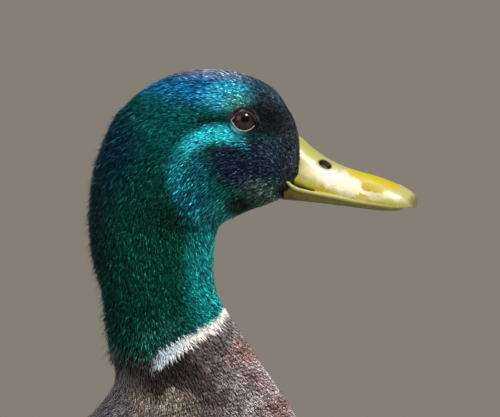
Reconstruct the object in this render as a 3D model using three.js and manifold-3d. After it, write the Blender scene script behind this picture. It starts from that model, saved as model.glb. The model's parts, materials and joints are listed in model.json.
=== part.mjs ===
// A life-size standing mallard drake, as a still museum model.
// Millimetres, +Z up, the bill towards +X, the bird's left side towards +Y.
// The body is one lofted form, parted by thin cuts into head, neck, ring, breast, trunk and rump.
// Positions are given from the point midway between the eyes. At the end the model is set down with
// its origin at the bottom centre of its own box.
import * as THREE from "three";
import { mergeVertices } from "three/addons/utils/BufferGeometryUtils.js";
import Module from "manifold-3d";

const wasm = await Module();
wasm.setup();

// Driving dimensions.
const EYE_HEIGHT = 340; // eye above the floor
const FLOOR = -EYE_HEIGHT;
const GAP = 0.3; // thin cut between neighbouring pieces
const EYE_RADIUS = 5.6;
const EYE_CENTRE = new THREE.Vector3(0, 15.4, 0); // left eye
const NOSTRIL = { at: [34.6, 8.6, -18.6], radii: [2.6, 3.2, 1.4], tilt: 24 };
const NAIL = { at: [73.5, 0, -33], radii: [7.5, 4.6, 6] }; // the horn nail fills this ball at the tip
const HIP = new THREE.Vector3(-84, 34, -232); // left leg
const ANKLE = new THREE.Vector3(-111, 31, -287);
const TOE_JOINT = new THREE.Vector3(-96, 30, -333);
const JOINT_RADIUS = 4.8;
const WEB_THICKNESS = 1.6;
const TAIL = { root: [-246, 0, -185], length: 92, width: 23, pairs: 4, spread: 24, droop: 14, rise: 2 };
const PRIMARIES = { root: [-203, 27, -165.5], length: 90, width: 15, count: 3, roll: 12, sweep: 7, dip: 5 };
const CURL = { centre: [-279, -159], radius: 12.5, tighten: 0.85, width: 7, apart: 0.4 };
const VANE_THICKNESS = 1.8; // a flight or tail feather
const NECK_SIDE = -100; // the neck and head lie wholly ahead of this

// Fineness of the forms: sections along each loft, and points round it.
const BODY_MESH = { steps: 44, around: 20 };
const BILL_MESH = { steps: 12, around: 12 };
const WING_MESH = { steps: 12, around: 18 };
const HUGE = 1200; // side of a cutting block

// Body sections from the tail coverts to the base of the bill. Each has its point on the back and on
// the belly side, as [x, z] from the eyes, its half width, how far up from the belly side it is widest
// (0 to 1) and its fullness, where 2 is an ellipse and more is squarer.
const BODY = [
  { at: "tail covert tips", back: [-288, -180], belly: [-286, -190], half: 17, widest: 0.55, full: 2 },
  { at: "tail coverts", back: [-262, -174], belly: [-261, -206], half: 31, widest: 0.58, full: 2 },
  { at: "rump", back: [-224, -166], belly: [-222, -228], half: 43, widest: 0.6, full: 2.1 },
  { at: "loin", back: [-178, -159], belly: [-178, -250], half: 53, widest: 0.56, full: 2.2 },
  { at: "legs", back: [-137, -151.5], belly: [-134, -266], half: 60, widest: 0.52, full: 2.2 },
  { at: "mid back", back: [-103, -143], belly: [-90, -273], half: 63, widest: 0.5, full: 2.15 },
  { at: "mantle", back: [-80, -134.5], belly: [-42, -269], half: 62.5, widest: 0.47, full: 2.1 },
  { at: "shoulder", back: [-66, -126], belly: [0, -252], half: 58, widest: 0.45, full: 2 },
  { at: "breast", back: [-58.5, -118.5], belly: [31, -222], half: 51, widest: 0.44, full: 2 },
  { at: "breast front", back: [-55, -111.5], belly: [43, -187], half: 44, widest: 0.45, full: 2 },
  { at: "upper breast", back: [-54, -104.5], belly: [36.5, -151], half: 37.5, widest: 0.47, full: 2 },
  { at: "neck foot", back: [-54.5, -96], belly: [20.5, -120.5], half: 31.5, widest: 0.49, full: 2 },
  { at: "collar", back: [-56.5, -85], belly: [3, -94], half: 27, widest: 0.5, full: 2 },
  { at: "lower neck", back: [-60, -71], belly: [-9.7, -72], half: 24.5, widest: 0.5, full: 2.05 },
  { at: "mid neck", back: [-63.7, -55], belly: [-12.2, -55.5], half: 23.6, widest: 0.5, full: 2.05 },
  { at: "throat", back: [-64.6, -36], belly: [-9.5, -44], half: 23.4, widest: 0.5, full: 2.05 },
  { at: "nape", back: [-61, -14.5], belly: [-1.5, -39.5], half: 23.6, widest: 0.46, full: 2.1 },
  { at: "back of crown", back: [-49.5, 7.5], belly: [4.5, -37], half: 23.6, widest: 0.43, full: 2.1 },
  { at: "crown", back: [-29.5, 19.6], belly: [9, -35.6], half: 22.4, widest: 0.41, full: 2.1 },
  { at: "brow", back: [-8, 21.4], belly: [12, -34.4], half: 19.9, widest: 0.42, full: 2.15 },
  { at: "forehead", back: [10.3, 15.4], belly: [14.2, -33.4], half: 16.4, widest: 0.42, full: 2.15 },
  { at: "lores", back: [19.5, 4], belly: [16, -32.6], half: 13, widest: 0.38, full: 2.1 },
  { at: "bill base", back: [24, -6.5], belly: [17.4, -32], half: 10.6, widest: 0.34, full: 2.1 },
];

const UPPER_BILL = [
  { at: "root", back: [20, -2], belly: [16, -25.6], half: 10.2, widest: 0.3, full: 2.1 },
  { at: "base", back: [24, -6.8], belly: [19.4, -26.4], half: 10.3, widest: 0.28, full: 2.1 },
  { at: "before nostril", back: [30, -12.4], belly: [27.2, -28], half: 10.1, widest: 0.24, full: 2.1 },
  { at: "nostril", back: [38, -18.1], belly: [36.4, -30.2], half: 9.9, widest: 0.22, full: 2.15 },
  { at: "saddle", back: [47, -21.8], belly: [46, -32.5], half: 10.4, widest: 0.2, full: 2.2 },
  { at: "spoon", back: [56, -24.8], belly: [55.5, -34.5], half: 11.3, widest: 0.2, full: 2.3 },
  { at: "widest", back: [63, -27.5], belly: [62.8, -35.6], half: 11.4, widest: 0.25, full: 2.3 },
  { at: "nail", back: [68, -30.2], belly: [67.8, -35.9], half: 9.3, widest: 0.35, full: 2.2 },
  { at: "tip", back: [71.4, -32.4], belly: [71, -35.6], half: 5.8, widest: 0.4, full: 2 },
  { at: "end", back: [72.7, -33.8], belly: [72.5, -34.8], half: 2, widest: 0.5, full: 2 },
];

const LOWER_BILL = [
  { at: "base", back: [17.3, -22], belly: [16.9, -32], half: 8.9, widest: 0.55, full: 2.2 },
  { at: "gape", back: [27.3, -24], belly: [26.7, -32.8], half: 8.9, widest: 0.55, full: 2.2 },
  { at: "middle", back: [41, -28], belly: [41, -34.9], half: 8.8, widest: 0.5, full: 2.3 },
  { at: "spoon", back: [56, -31], belly: [56, -37.1], half: 9.7, widest: 0.5, full: 2.3 },
  { at: "front", back: [63.5, -33], belly: [63.5, -37.2], half: 8.2, widest: 0.5, full: 2.1 },
  { at: "end", back: [66.5, -35], belly: [66.5, -36.6], half: 4.5, widest: 0.5, full: 2 },
];

// The folded wings and the scapulars over them are lofts that swell out of the trunk's sides and back.
const WINGS = [
  { at: "hand", back: [-238, -172], belly: [-238, -200], half: 40, widest: 0.5, full: 2 },
  { at: "wing end", back: [-200, -164], belly: [-200, -220], half: 54, widest: 0.5, full: 2.3 },
  { at: "secondaries", back: [-155, -158], belly: [-155, -232], half: 63.5, widest: 0.5, full: 2.5 },
  { at: "speculum", back: [-108, -148], belly: [-108, -234], half: 69, widest: 0.5, full: 2.6 },
  { at: "coverts", back: [-60, -142], belly: [-60, -224], half: 68.5, widest: 0.5, full: 2.5 },
  { at: "lesser coverts", back: [-20, -152], belly: [-20, -210], half: 61, widest: 0.5, full: 2.3 },
  { at: "wrist", back: [6, -164], belly: [6, -192], half: 51, widest: 0.5, full: 2.2 },
];
const SCAPULARS = [
  { at: "tertial tips", back: [-240, -166], belly: [-240, -182], half: 35, widest: 0.4, full: 2 },
  { at: "tertials", back: [-208, -158.5], belly: [-208, -190], half: 54, widest: 0.35, full: 2.1 },
  { at: "long", back: [-165, -152], belly: [-165, -190], half: 65, widest: 0.3, full: 2.1 },
  { at: "middle", back: [-120, -143], belly: [-118, -184], half: 68, widest: 0.3, full: 2.1 },
  { at: "upper", back: [-86, -133.5], belly: [-82, -170], half: 61, widest: 0.3, full: 2 },
  { at: "shoulder", back: [-68, -132], belly: [-62, -152], half: 44, widest: 0.3, full: 2 },
];

// Where the body is parted, as [x, z] on the middle plane with the tilt of the cut in degrees.
const CUTS = {
  headFromNeck: { at: [-36, -42], tilt: -4 },
  neckFromRing: { at: [-22, -85.3], tilt: 31 },
  ringFromBreast: { at: [-22, -91.3], tilt: 31 },
  breastFromTrunk: { at: [-32, -180], tilt: -66 },
  trunkFromRump: { at: [-226, -195], tilt: 66 },
};

const finish = (color, roughness, metalness = 0) =>
  new THREE.MeshStandardMaterial({ color, roughness, metalness });
const FINISH = {
  greenFeather: finish(0x0d5a4c, 0.35, 0.4),
  whiteFeather: finish(0xece7db, 0.8),
  breastFeather: finish(0x5d4038, 0.75),
  greyFeather: finish(0xa9a59c, 0.8),
  brownFeather: finish(0x6d6156, 0.75),
  blackFeather: finish(0x15171a, 0.6),
  bill: finish(0xcfc557, 0.3),
  nail: finish(0x4a4630, 0.35),
  leg: finish(0xd9712a, 0.5),
  claw: finish(0x2b2622, 0.4),
  eye: finish(0x2a1710, 0.08),
};

const radians = THREE.MathUtils.degToRad;

// Turns a closed geometry into a solid.
function solid(geometry) {
  const bare = geometry.index ? geometry.toNonIndexed() : geometry.clone();
  for (const name of Object.keys(bare.attributes)) {
    if (name !== "position") bare.deleteAttribute(name);
  }
  const merged = mergeVertices(bare, 1e-4);
  return new wasm.Manifold(
    new wasm.Mesh({
      numProp: 3,
      vertProperties: merged.attributes.position.array,
      triVerts: new Uint32Array(merged.index.array),
    }),
  );
}

// Turns a solid back into a named mesh.
function part(name, body, material) {
  const found = body.getMesh();
  const geometry = new THREE.BufferGeometry();
  const corners = new Float32Array(found.numVert * 3);
  for (let i = 0; i < found.numVert; i += 1) {
    const from = i * found.numProp;
    corners.set(found.vertProperties.subarray(from, from + 3), i * 3);
  }
  geometry.setAttribute("position", new THREE.BufferAttribute(corners, 3));
  geometry.setIndex(new THREE.BufferAttribute(new Uint32Array(found.triVerts), 1));
  const mesh = new THREE.Mesh(geometry, material);
  mesh.name = name;
  return mesh;
}

// Skins rings of points, all of the same count, and closes both ends with fans.
function skin(rings) {
  const count = rings[0].length;
  const corners = rings.flat();
  const index = [];
  for (let r = 0; r + 1 < rings.length; r += 1) {
    for (let i = 0; i < count; i += 1) {
      const a = r * count + i;
      const b = r * count + ((i + 1) % count);
      index.push(a, a + count, b, b, a + count, b + count);
    }
  }
  const caps = [
    [0, false],
    [rings.length - 1, true],
  ];
  for (const [r, last] of caps) {
    const hub = rings[r].reduce((sum, p) => sum.add(p), new THREE.Vector3()).divideScalar(count);
    corners.push(hub);
    for (let i = 0; i < count; i += 1) {
      const a = r * count + i;
      const b = r * count + ((i + 1) % count);
      index.push(...(last ? [a, corners.length - 1, b] : [b, corners.length - 1, a]));
    }
  }
  const geometry = new THREE.BufferGeometry().setFromPoints(corners);
  geometry.setIndex(index);
  return geometry;
}

// A loft through sections, with its surface moved out by grow.
function loft(sections, { steps, around }, grow = 0) {
  const line = (side) =>
    new THREE.CatmullRomCurve3(
      sections.map((s) => new THREE.Vector3(s[side][0], 0, s[side][1])),
      false,
      "catmullrom",
    );
  const backLine = line("back");
  const bellyLine = line("belly");
  const formLine = new THREE.CatmullRomCurve3(
    sections.map((s) => new THREE.Vector3(s.half, s.widest, s.full)),
    false,
    "catmullrom",
  );
  const power = (value, exponent) => Math.sign(value) * Math.abs(value) ** exponent;
  const rings = [];
  for (let k = 0; k <= steps; k += 1) {
    const t = k / steps;
    const belly = bellyLine.getPoint(t);
    const up = backLine.getPoint(t).sub(belly);
    const height = up.length();
    up.normalize();
    const { x: half, y: widest, z: full } = formLine.getPoint(t);
    const ring = [];
    for (let i = 0; i < around; i += 1) {
      const angle = (2 * Math.PI * i) / around;
      const c = power(Math.cos(angle), 2 / full);
      const reach = (c > 0 ? 1 - widest : widest) * height + grow;
      const p = belly.clone().addScaledVector(up, widest * height + c * reach);
      p.y = (half + grow) * power(Math.sin(angle), 2 / full);
      ring.push(p);
    }
    rings.push(ring);
  }
  return solid(skin(rings));
}

// A block on one side of a plane that stands across the middle plane. Tilt 0 is level, with the block
// above it, and a positive tilt lifts the side towards +X.
function blockAbove({ at, tilt }, lift = 0) {
  const block = new THREE.BoxGeometry(HUGE, HUGE, HUGE);
  block.translate(0, 0, HUGE / 2 + lift);
  block.rotateY(-radians(tilt));
  block.translate(at[0], 0, at[1]);
  return solid(block);
}

const mirrored = (body) => body.mirror([0, 1, 0]);

// The part of a body that is biggest, when a cut has left chips beside it.
const largest = (body) => body.decompose().reduce((a, b) => (b.volume() > a.volume() ? b : a));

// ---- Body ----
const wholeBody = loft(BODY, BODY_MESH);
const grownBody = loft(BODY, BODY_MESH, GAP);

const eyeBall = (radius, side) => {
  const ball = new THREE.SphereGeometry(radius, 12, 8);
  ball.translate(EYE_CENTRE.x, side * EYE_CENTRE.y, EYE_CENTRE.z);
  return solid(ball);
};
const above = (cut) => blockAbove(cut, GAP / 2);
const below = (cut) => blockAbove({ at: cut.at, tilt: cut.tilt + 180 }, GAP / 2);

const head = wholeBody
  .intersect(above(CUTS.headFromNeck))
  .subtract(eyeBall(EYE_RADIUS + GAP, 1))
  .subtract(eyeBall(EYE_RADIUS + GAP, -1));
const neckSide = blockAbove({ at: [NECK_SIDE, 0], tilt: -90 }); // all that lies ahead of the mantle
const neckAndHead = wholeBody.intersect(neckSide).intersect(above(CUTS.ringFromBreast));
const ring = neckAndHead.intersect(below(CUTS.neckFromRing));
const neck = neckAndHead
  .intersect(above(CUTS.neckFromRing))
  .intersect(below(CUTS.headFromNeck));
const torso = wholeBody.subtract(neckSide.intersect(blockAbove(CUTS.ringFromBreast, -GAP / 2)));
const breast = torso.intersect(above(CUTS.breastFromTrunk));
const trunk = torso
  .intersect(below(CUTS.breastFromTrunk))
  .intersect(below(CUTS.trunkFromRump));
const rump = torso.intersect(above(CUTS.trunkFromRump));

// ---- Bill ----
const bill = (sections, grow = 0) => loft(sections, BILL_MESH, grow);
const nostril = (side) => {
  const pit = new THREE.SphereGeometry(1, 8, 6);
  pit.scale(...NOSTRIL.radii);
  pit.rotateY(radians(NOSTRIL.tilt));
  pit.translate(NOSTRIL.at[0], side * NOSTRIL.at[1], NOSTRIL.at[2]);
  return solid(pit);
};
const nailBall = (grow) => {
  const ball = new THREE.SphereGeometry(1, 10, 6);
  ball.scale(...NAIL.radii.map((radius) => radius + grow));
  ball.translate(...NAIL.at);
  return solid(ball);
};
const upperBill = bill(UPPER_BILL)
  .subtract(grownBody)
  .subtract(nostril(1))
  .subtract(nostril(-1))
  .subtract(nailBall(GAP));
const billNail = bill(UPPER_BILL, GAP).intersect(nailBall(0));
const lowerBill = bill(LOWER_BILL).subtract(grownBody).subtract(bill(UPPER_BILL, GAP));

// ---- Folded wings ----
const sideBlock = (side) => {
  const block = new THREE.BoxGeometry(HUGE, HUGE, HUGE);
  block.translate(0, (side * (HUGE + GAP)) / 2, 0);
  return solid(block);
};
const wingPair = loft(WINGS, WING_MESH);
const wingPairGrown = loft(WINGS, WING_MESH, GAP);
const scapularPair = loft(SCAPULARS, WING_MESH);
const scapularPairGrown = loft(SCAPULARS, WING_MESH, GAP);
const wingOf = (side) => largest(wingPair.subtract(grownBody).intersect(sideBlock(side)));
const scapularsOf = (side) =>
  largest(scapularPair.subtract(grownBody).subtract(wingPairGrown).intersect(sideBlock(side)));

// A flat feather blade: rounded, along -X from the origin, lying on the level plane.
function blade(length, width, thickness) {
  const shape = new THREE.Shape();
  shape.moveTo(0, -width * 0.3);
  shape.quadraticCurveTo(-length * 0.45, -width * 0.55, -length * 0.8, -width * 0.46);
  shape.quadraticCurveTo(-length * 0.98, -width * 0.36, -length, 0);
  shape.quadraticCurveTo(-length * 0.98, width * 0.36, -length * 0.8, width * 0.46);
  shape.quadraticCurveTo(-length * 0.45, width * 0.55, 0, width * 0.3);
  shape.closePath();
  return new THREE.ExtrudeGeometry(shape, { depth: thickness, bevelEnabled: false, curveSegments: 2 });
}

// The hand of the folded wing: primaries stacked like a shut fan above the rump, each one shorter
// and set further out than the one under it.
const STACK = { shorter: 12, higher: 1.3, wider: 3, outwards: 2 };
function primaries(side) {
  const [x, y, z] = PRIMARIES.root;
  let stack = null;
  for (let i = 0; i < PRIMARIES.count; i += 1) {
    const feather = blade(PRIMARIES.length - STACK.shorter * i, PRIMARIES.width, VANE_THICKNESS);
    feather.translate(0, 0, STACK.higher * i);
    feather.rotateX(radians(-side * PRIMARIES.roll));
    feather.rotateZ(radians(side * (PRIMARIES.sweep + STACK.wider * i)));
    feather.rotateY(radians(-PRIMARIES.dip));
    feather.translate(x, side * (y + STACK.outwards * i), z);
    stack = stack ? stack.add(solid(feather)) : solid(feather);
  }
  return stack;
}

// ---- Tail ----
// The fan's outer feathers are a fifth shorter and lie a little lower.
const OUTER_SHORTER = 0.2;
const OUTER_LOWER = 2.6;
function tailFan() {
  let fan = null;
  for (let i = -TAIL.pairs; i <= TAIL.pairs; i += 1) {
    const out = i / TAIL.pairs;
    const length = TAIL.length * (1 - OUTER_SHORTER * Math.abs(out) ** 1.5);
    const feather = blade(length, TAIL.width, VANE_THICKNESS);
    feather.translate(0, 0, -OUTER_LOWER * Math.abs(out));
    feather.rotateX(radians(-TAIL.droop * out));
    feather.rotateZ(radians(TAIL.spread * out));
    feather.rotateY(radians(TAIL.rise));
    feather.translate(...TAIL.root);
    fan = fan ? fan.add(solid(feather)) : solid(feather);
  }
  return fan;
}

// A curled tail covert: a ribbon drawn on the side plane, which leaves the tail coverts at its root
// and rolls up and forward.
const CURL_ROOT = [[-252, -178], [-266, -173.5]];
const CURL_ROLL = { from: -112, step: -36, points: 8 };
const CURL_HALF_THICKNESS = { root: 0.9, thinner: 0.25 };
const CURL_STEPS = 14;
function curl(side) {
  const line = CURL_ROOT.map(([x, z]) => new THREE.Vector2(x, z));
  for (let i = 0; i < CURL_ROLL.points; i += 1) {
    const angle = radians(CURL_ROLL.from + CURL_ROLL.step * i);
    const radius = CURL.radius - CURL.tighten * i;
    const spoke = new THREE.Vector2(Math.cos(angle), Math.sin(angle)).multiplyScalar(radius);
    line.push(spoke.add(new THREE.Vector2(...CURL.centre)));
  }
  const run = new THREE.SplineCurve(line);
  const outer = [];
  const inner = [];
  for (let i = 0; i <= CURL_STEPS; i += 1) {
    const t = i / CURL_STEPS;
    const p = run.getPoint(t);
    const along = run.getTangent(t);
    const thick = CURL_HALF_THICKNESS.root - CURL_HALF_THICKNESS.thinner * t;
    outer.push(new THREE.Vector2(p.x + along.y * thick, p.y - along.x * thick));
    inner.push(new THREE.Vector2(p.x - along.y * thick, p.y + along.x * thick));
  }
  const shape = new THREE.Shape([...outer, ...inner.reverse()]);
  const ribbon = new THREE.ExtrudeGeometry(shape, { depth: CURL.width, bevelEnabled: false });
  ribbon.rotateX(Math.PI / 2);
  ribbon.translate(0, side > 0 ? CURL.apart + CURL.width : -CURL.apart, 0);
  return solid(ribbon).subtract(grownBody);
}

// ---- Legs, built on the left ----
// A round form of revolution from one point to another, with [distance, radius] along it.
function turned(profile, from, to, around = 8) {
  const outline = [
    new THREE.Vector2(0, profile[0][0]),
    ...profile.map(([distance, radius]) => new THREE.Vector2(radius, distance)),
    new THREE.Vector2(0, profile.at(-1)[0]),
  ];
  const form = new THREE.LatheGeometry(outline, around);
  const way = to.clone().sub(from).normalize();
  form.applyQuaternion(new THREE.Quaternion().setFromUnitVectors(new THREE.Vector3(0, 1, 0), way));
  form.translate(from.x, from.y, from.z);
  return solid(form);
}
// [distance from the ankle, radius] up the thigh, then down the shank.
const THIGH = [[-3, 3.6], [0, 5], [6, 6.2], [14, 9.5], [24, 14.5], [36, 18.5], [48, 20], [58, 17]];
const SHANK = [[-4, 3], [-1.5, 4.4], [3, 4.6], [8, 3.5], [20, 2.9], [34, 2.8], [42, 3.6], [47, 3.8]];
const THIGH_AROUND = 12;
const widened = (profile) => profile.map(([distance, radius]) => [distance, radius + GAP]);
const thigh = turned(THIGH, ANKLE, HIP, THIGH_AROUND).subtract(grownBody);
const thighGrown = turned(widened(THIGH), ANKLE, HIP, THIGH_AROUND);
const jointBall = (radius) => {
  const ball = new THREE.SphereGeometry(radius, 8, 6);
  ball.translate(TOE_JOINT.x, TOE_JOINT.y, TOE_JOINT.z);
  return solid(ball);
};
const shank = turned(SHANK, ANKLE, TOE_JOINT).subtract(jointBall(JOINT_RADIUS + GAP));
const shankGrown = turned(widened(SHANK), ANKLE, TOE_JOINT);

// Each toe has its length, the way it points (degrees from +X, outwards is positive), its claw's
// length and how many knuckles show.
const TOES = {
  inner: { length: 38, turn: -27, claw: 6, knuckles: 2 },
  middle: { length: 50, turn: -3, claw: 7.5, knuckles: 3 },
  outer: { length: 46, turn: 20, claw: 6, knuckles: 4 },
};
const HIND_TOE = { length: 12, turn: 197, claw: 4.5, knuckles: 1 };
const TOE_SHAPE = { root: 3.2, taper: 1.1, knuckle: 0.45, tip: 1.3, tipLength: 1.2, around: 7 };
const CLAW_SHAPE = { root: 1.6, belly: 1.5, neck: 1.1, point: 0.35, around: 5 };
const HEIGHTS = { toeRoot: 2.4, toeTip: 1.6, clawRoot: 2.1, clawPoint: 0.6, hindToe: 4.5 }; // above the floor
const floorBlock = blockAbove({ at: [0, FLOOR], tilt: 0 });
const toeWay = (turn) => new THREE.Vector3(Math.cos(radians(turn)), Math.sin(radians(turn)), 0);
const toeStart = new THREE.Vector3(TOE_JOINT.x, TOE_JOINT.y, FLOOR + HEIGHTS.toeRoot);

function toe({ length, turn, knuckles }, start, grow = 0) {
  const profile = [];
  const steps = 2 * knuckles;
  for (let i = 0; i <= steps; i += 1) {
    const t = i / steps;
    const swell = i % 2 === 1 ? TOE_SHAPE.knuckle : 0;
    profile.push([t * length, TOE_SHAPE.root - TOE_SHAPE.taper * t + swell + grow]);
  }
  profile.push([length + TOE_SHAPE.tipLength + grow, TOE_SHAPE.tip + grow]);
  const end = start.clone().addScaledVector(toeWay(turn), length);
  end.z = FLOOR + HEIGHTS.toeTip;
  return turned(profile, start, end, TOE_SHAPE.around);
}

// A claw starts just inside its toe, bellies out and comes to a point near the floor.
function claw({ length, turn, claw: reach }, start) {
  const way = toeWay(turn);
  const from = start.clone().addScaledVector(way, length - 1);
  from.z = FLOOR + HEIGHTS.clawRoot;
  const to = start.clone().addScaledVector(way, length + reach);
  to.z = FLOOR + HEIGHTS.clawPoint;
  const whole = reach + 1;
  const profile = [
    [0, CLAW_SHAPE.root],
    [0.4 * whole, CLAW_SHAPE.belly],
    [0.65 * whole, CLAW_SHAPE.neck],
    [whole, CLAW_SHAPE.point],
  ];
  return turned(profile, from, to, CLAW_SHAPE.around);
}

// The web is cut on the level plane, with its edge hollowed between the toe tips.
const WEB_REACH = 0.94; // share of each toe's length that the web runs out to
const WEB_HOLLOW = 0.81; // the same at the middle of each hollow
const WEB_HEEL = 2;
function web() {
  const onWeb = (turn, reach) => {
    const p = toeStart.clone().addScaledVector(toeWay(turn), reach);
    return [p.x, p.y];
  };
  const tip = ({ length, turn }) => onWeb(turn, length * WEB_REACH);
  const hollow = (a, b) => onWeb((a.turn + b.turn) / 2, (WEB_HOLLOW * (a.length + b.length)) / 2);
  const shape = new THREE.Shape();
  shape.moveTo(toeStart.x - WEB_HEEL, toeStart.y - WEB_HEEL);
  shape.lineTo(...tip(TOES.inner));
  shape.quadraticCurveTo(...hollow(TOES.inner, TOES.middle), ...tip(TOES.middle));
  shape.quadraticCurveTo(...hollow(TOES.middle, TOES.outer), ...tip(TOES.outer));
  shape.lineTo(toeStart.x - WEB_HEEL, toeStart.y + WEB_HEEL);
  shape.closePath();
  const sheet = new THREE.ExtrudeGeometry(shape, {
    depth: WEB_THICKNESS,
    bevelEnabled: false,
    curveSegments: 5,
  });
  sheet.translate(0, 0, FLOOR);
  return solid(sheet);
}

const hindStart = new THREE.Vector3(TOE_JOINT.x - 5.6, TOE_JOINT.y - 1.2, FLOOR + HEIGHTS.hindToe);
const foot = Object.values(TOES)
  .reduce((sum, one) => sum.add(toe(one, toeStart)), jointBall(JOINT_RADIUS).add(web()))
  .intersect(floorBlock);
const hindToe = toe(HIND_TOE, hindStart)
  .subtract(jointBall(JOINT_RADIUS + GAP))
  .subtract(shankGrown)
  .intersect(floorBlock);

// ---- The whole bird ----
const duck = new THREE.Group();
const add = (name, body, material) => duck.add(part(name, body, material));
add("head", head, FINISH.greenFeather);
add("neck", neck, FINISH.greenFeather);
add("neck_ring", ring, FINISH.whiteFeather);
add("breast", breast, FINISH.breastFeather);
add("trunk", trunk, FINISH.greyFeather);
add("rump", rump, FINISH.blackFeather);
add("bill_upper", upperBill, FINISH.bill);
add("bill_lower", lowerBill, FINISH.bill);
add("bill_nail", billNail, FINISH.nail);
add("tail", tailFan().subtract(grownBody), FINISH.whiteFeather);

for (const [name, side] of [["left", 1], ["right", -1]]) {
  const sided = (body) => (side > 0 ? body : mirrored(body));
  add(`eye_${name}`, eyeBall(EYE_RADIUS, side), FINISH.eye);
  add(`wing_${name}`, wingOf(side), FINISH.brownFeather);
  add(`scapulars_${name}`, scapularsOf(side), FINISH.greyFeather);
  const hand = primaries(side)
    .subtract(scapularPairGrown)
    .subtract(wingPairGrown)
    .subtract(grownBody);
  add(`primaries_${name}`, largest(hand), FINISH.brownFeather);
  add(`tail_curl_${name}`, largest(curl(side)), FINISH.blackFeather);
  add(`thigh_${name}`, sided(largest(thigh)), FINISH.greyFeather);
  add(`shank_${name}`, sided(largest(shank.subtract(thighGrown))), FINISH.leg);
  add(`foot_${name}`, sided(foot), FINISH.leg);
  add(`hind_toe_${name}`, sided(largest(hindToe)), FINISH.leg);
  for (const [toeName, one] of Object.entries(TOES)) {
    const horn = claw(one, toeStart).intersect(floorBlock).subtract(toe(one, toeStart, GAP));
    add(`claw_${toeName}_${name}`, sided(largest(horn)), FINISH.claw);
  }
  const hindHorn = claw(HIND_TOE, hindStart)
    .intersect(floorBlock)
    .subtract(toe(HIND_TOE, hindStart, GAP));
  add(`claw_hind_${name}`, sided(largest(hindHorn)), FINISH.claw);
}

// The origin goes to the bottom centre of the model's box.
const model = new THREE.Group();
const box = new THREE.Box3().setFromObject(duck);
duck.position.set(-(box.min.x + box.max.x) / 2, 0, -box.min.z);
model.add(duck);
export default model;
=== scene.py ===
import json
import math

import bmesh
import bpy
import numpy as np
from mathutils import Matrix, Vector
from mathutils.bvhtree import BVHTree
from mathutils.kdtree import KDTree

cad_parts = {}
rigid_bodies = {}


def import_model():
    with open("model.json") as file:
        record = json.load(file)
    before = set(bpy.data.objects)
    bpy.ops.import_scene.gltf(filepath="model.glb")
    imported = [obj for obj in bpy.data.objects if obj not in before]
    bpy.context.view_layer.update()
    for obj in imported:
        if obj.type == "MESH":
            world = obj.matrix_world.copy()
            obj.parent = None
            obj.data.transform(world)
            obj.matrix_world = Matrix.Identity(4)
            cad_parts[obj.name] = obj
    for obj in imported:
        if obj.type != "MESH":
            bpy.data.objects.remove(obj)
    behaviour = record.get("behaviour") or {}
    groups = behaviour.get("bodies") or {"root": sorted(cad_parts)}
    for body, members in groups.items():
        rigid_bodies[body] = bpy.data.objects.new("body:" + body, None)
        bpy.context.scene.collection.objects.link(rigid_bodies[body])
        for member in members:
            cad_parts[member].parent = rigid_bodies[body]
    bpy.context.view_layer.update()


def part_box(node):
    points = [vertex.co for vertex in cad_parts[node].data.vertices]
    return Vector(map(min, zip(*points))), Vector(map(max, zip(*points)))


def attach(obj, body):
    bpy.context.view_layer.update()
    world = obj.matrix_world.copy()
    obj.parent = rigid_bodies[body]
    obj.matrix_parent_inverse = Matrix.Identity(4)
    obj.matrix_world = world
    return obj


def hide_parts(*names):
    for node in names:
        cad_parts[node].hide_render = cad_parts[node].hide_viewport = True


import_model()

# A mallard drake. Forms are given in millimetres from the point midway between the eyes, which the
# frame gives, with x towards the bill, y to the bird's left and z up. Meshes are in metres.
MM = 0.001
eye_low, eye_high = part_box("eye_left")
EYES = np.array([(eye_low.x + eye_high.x) / 2, 0.0, (eye_low.z + eye_high.z) / 2])
EYE_OUT = (eye_low.y + eye_high.y) / 2 / MM
EYE_RADIUS = (eye_high.z - eye_low.z) / 2 / MM
SIDES = {"left": 1, "right": -1}

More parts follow.
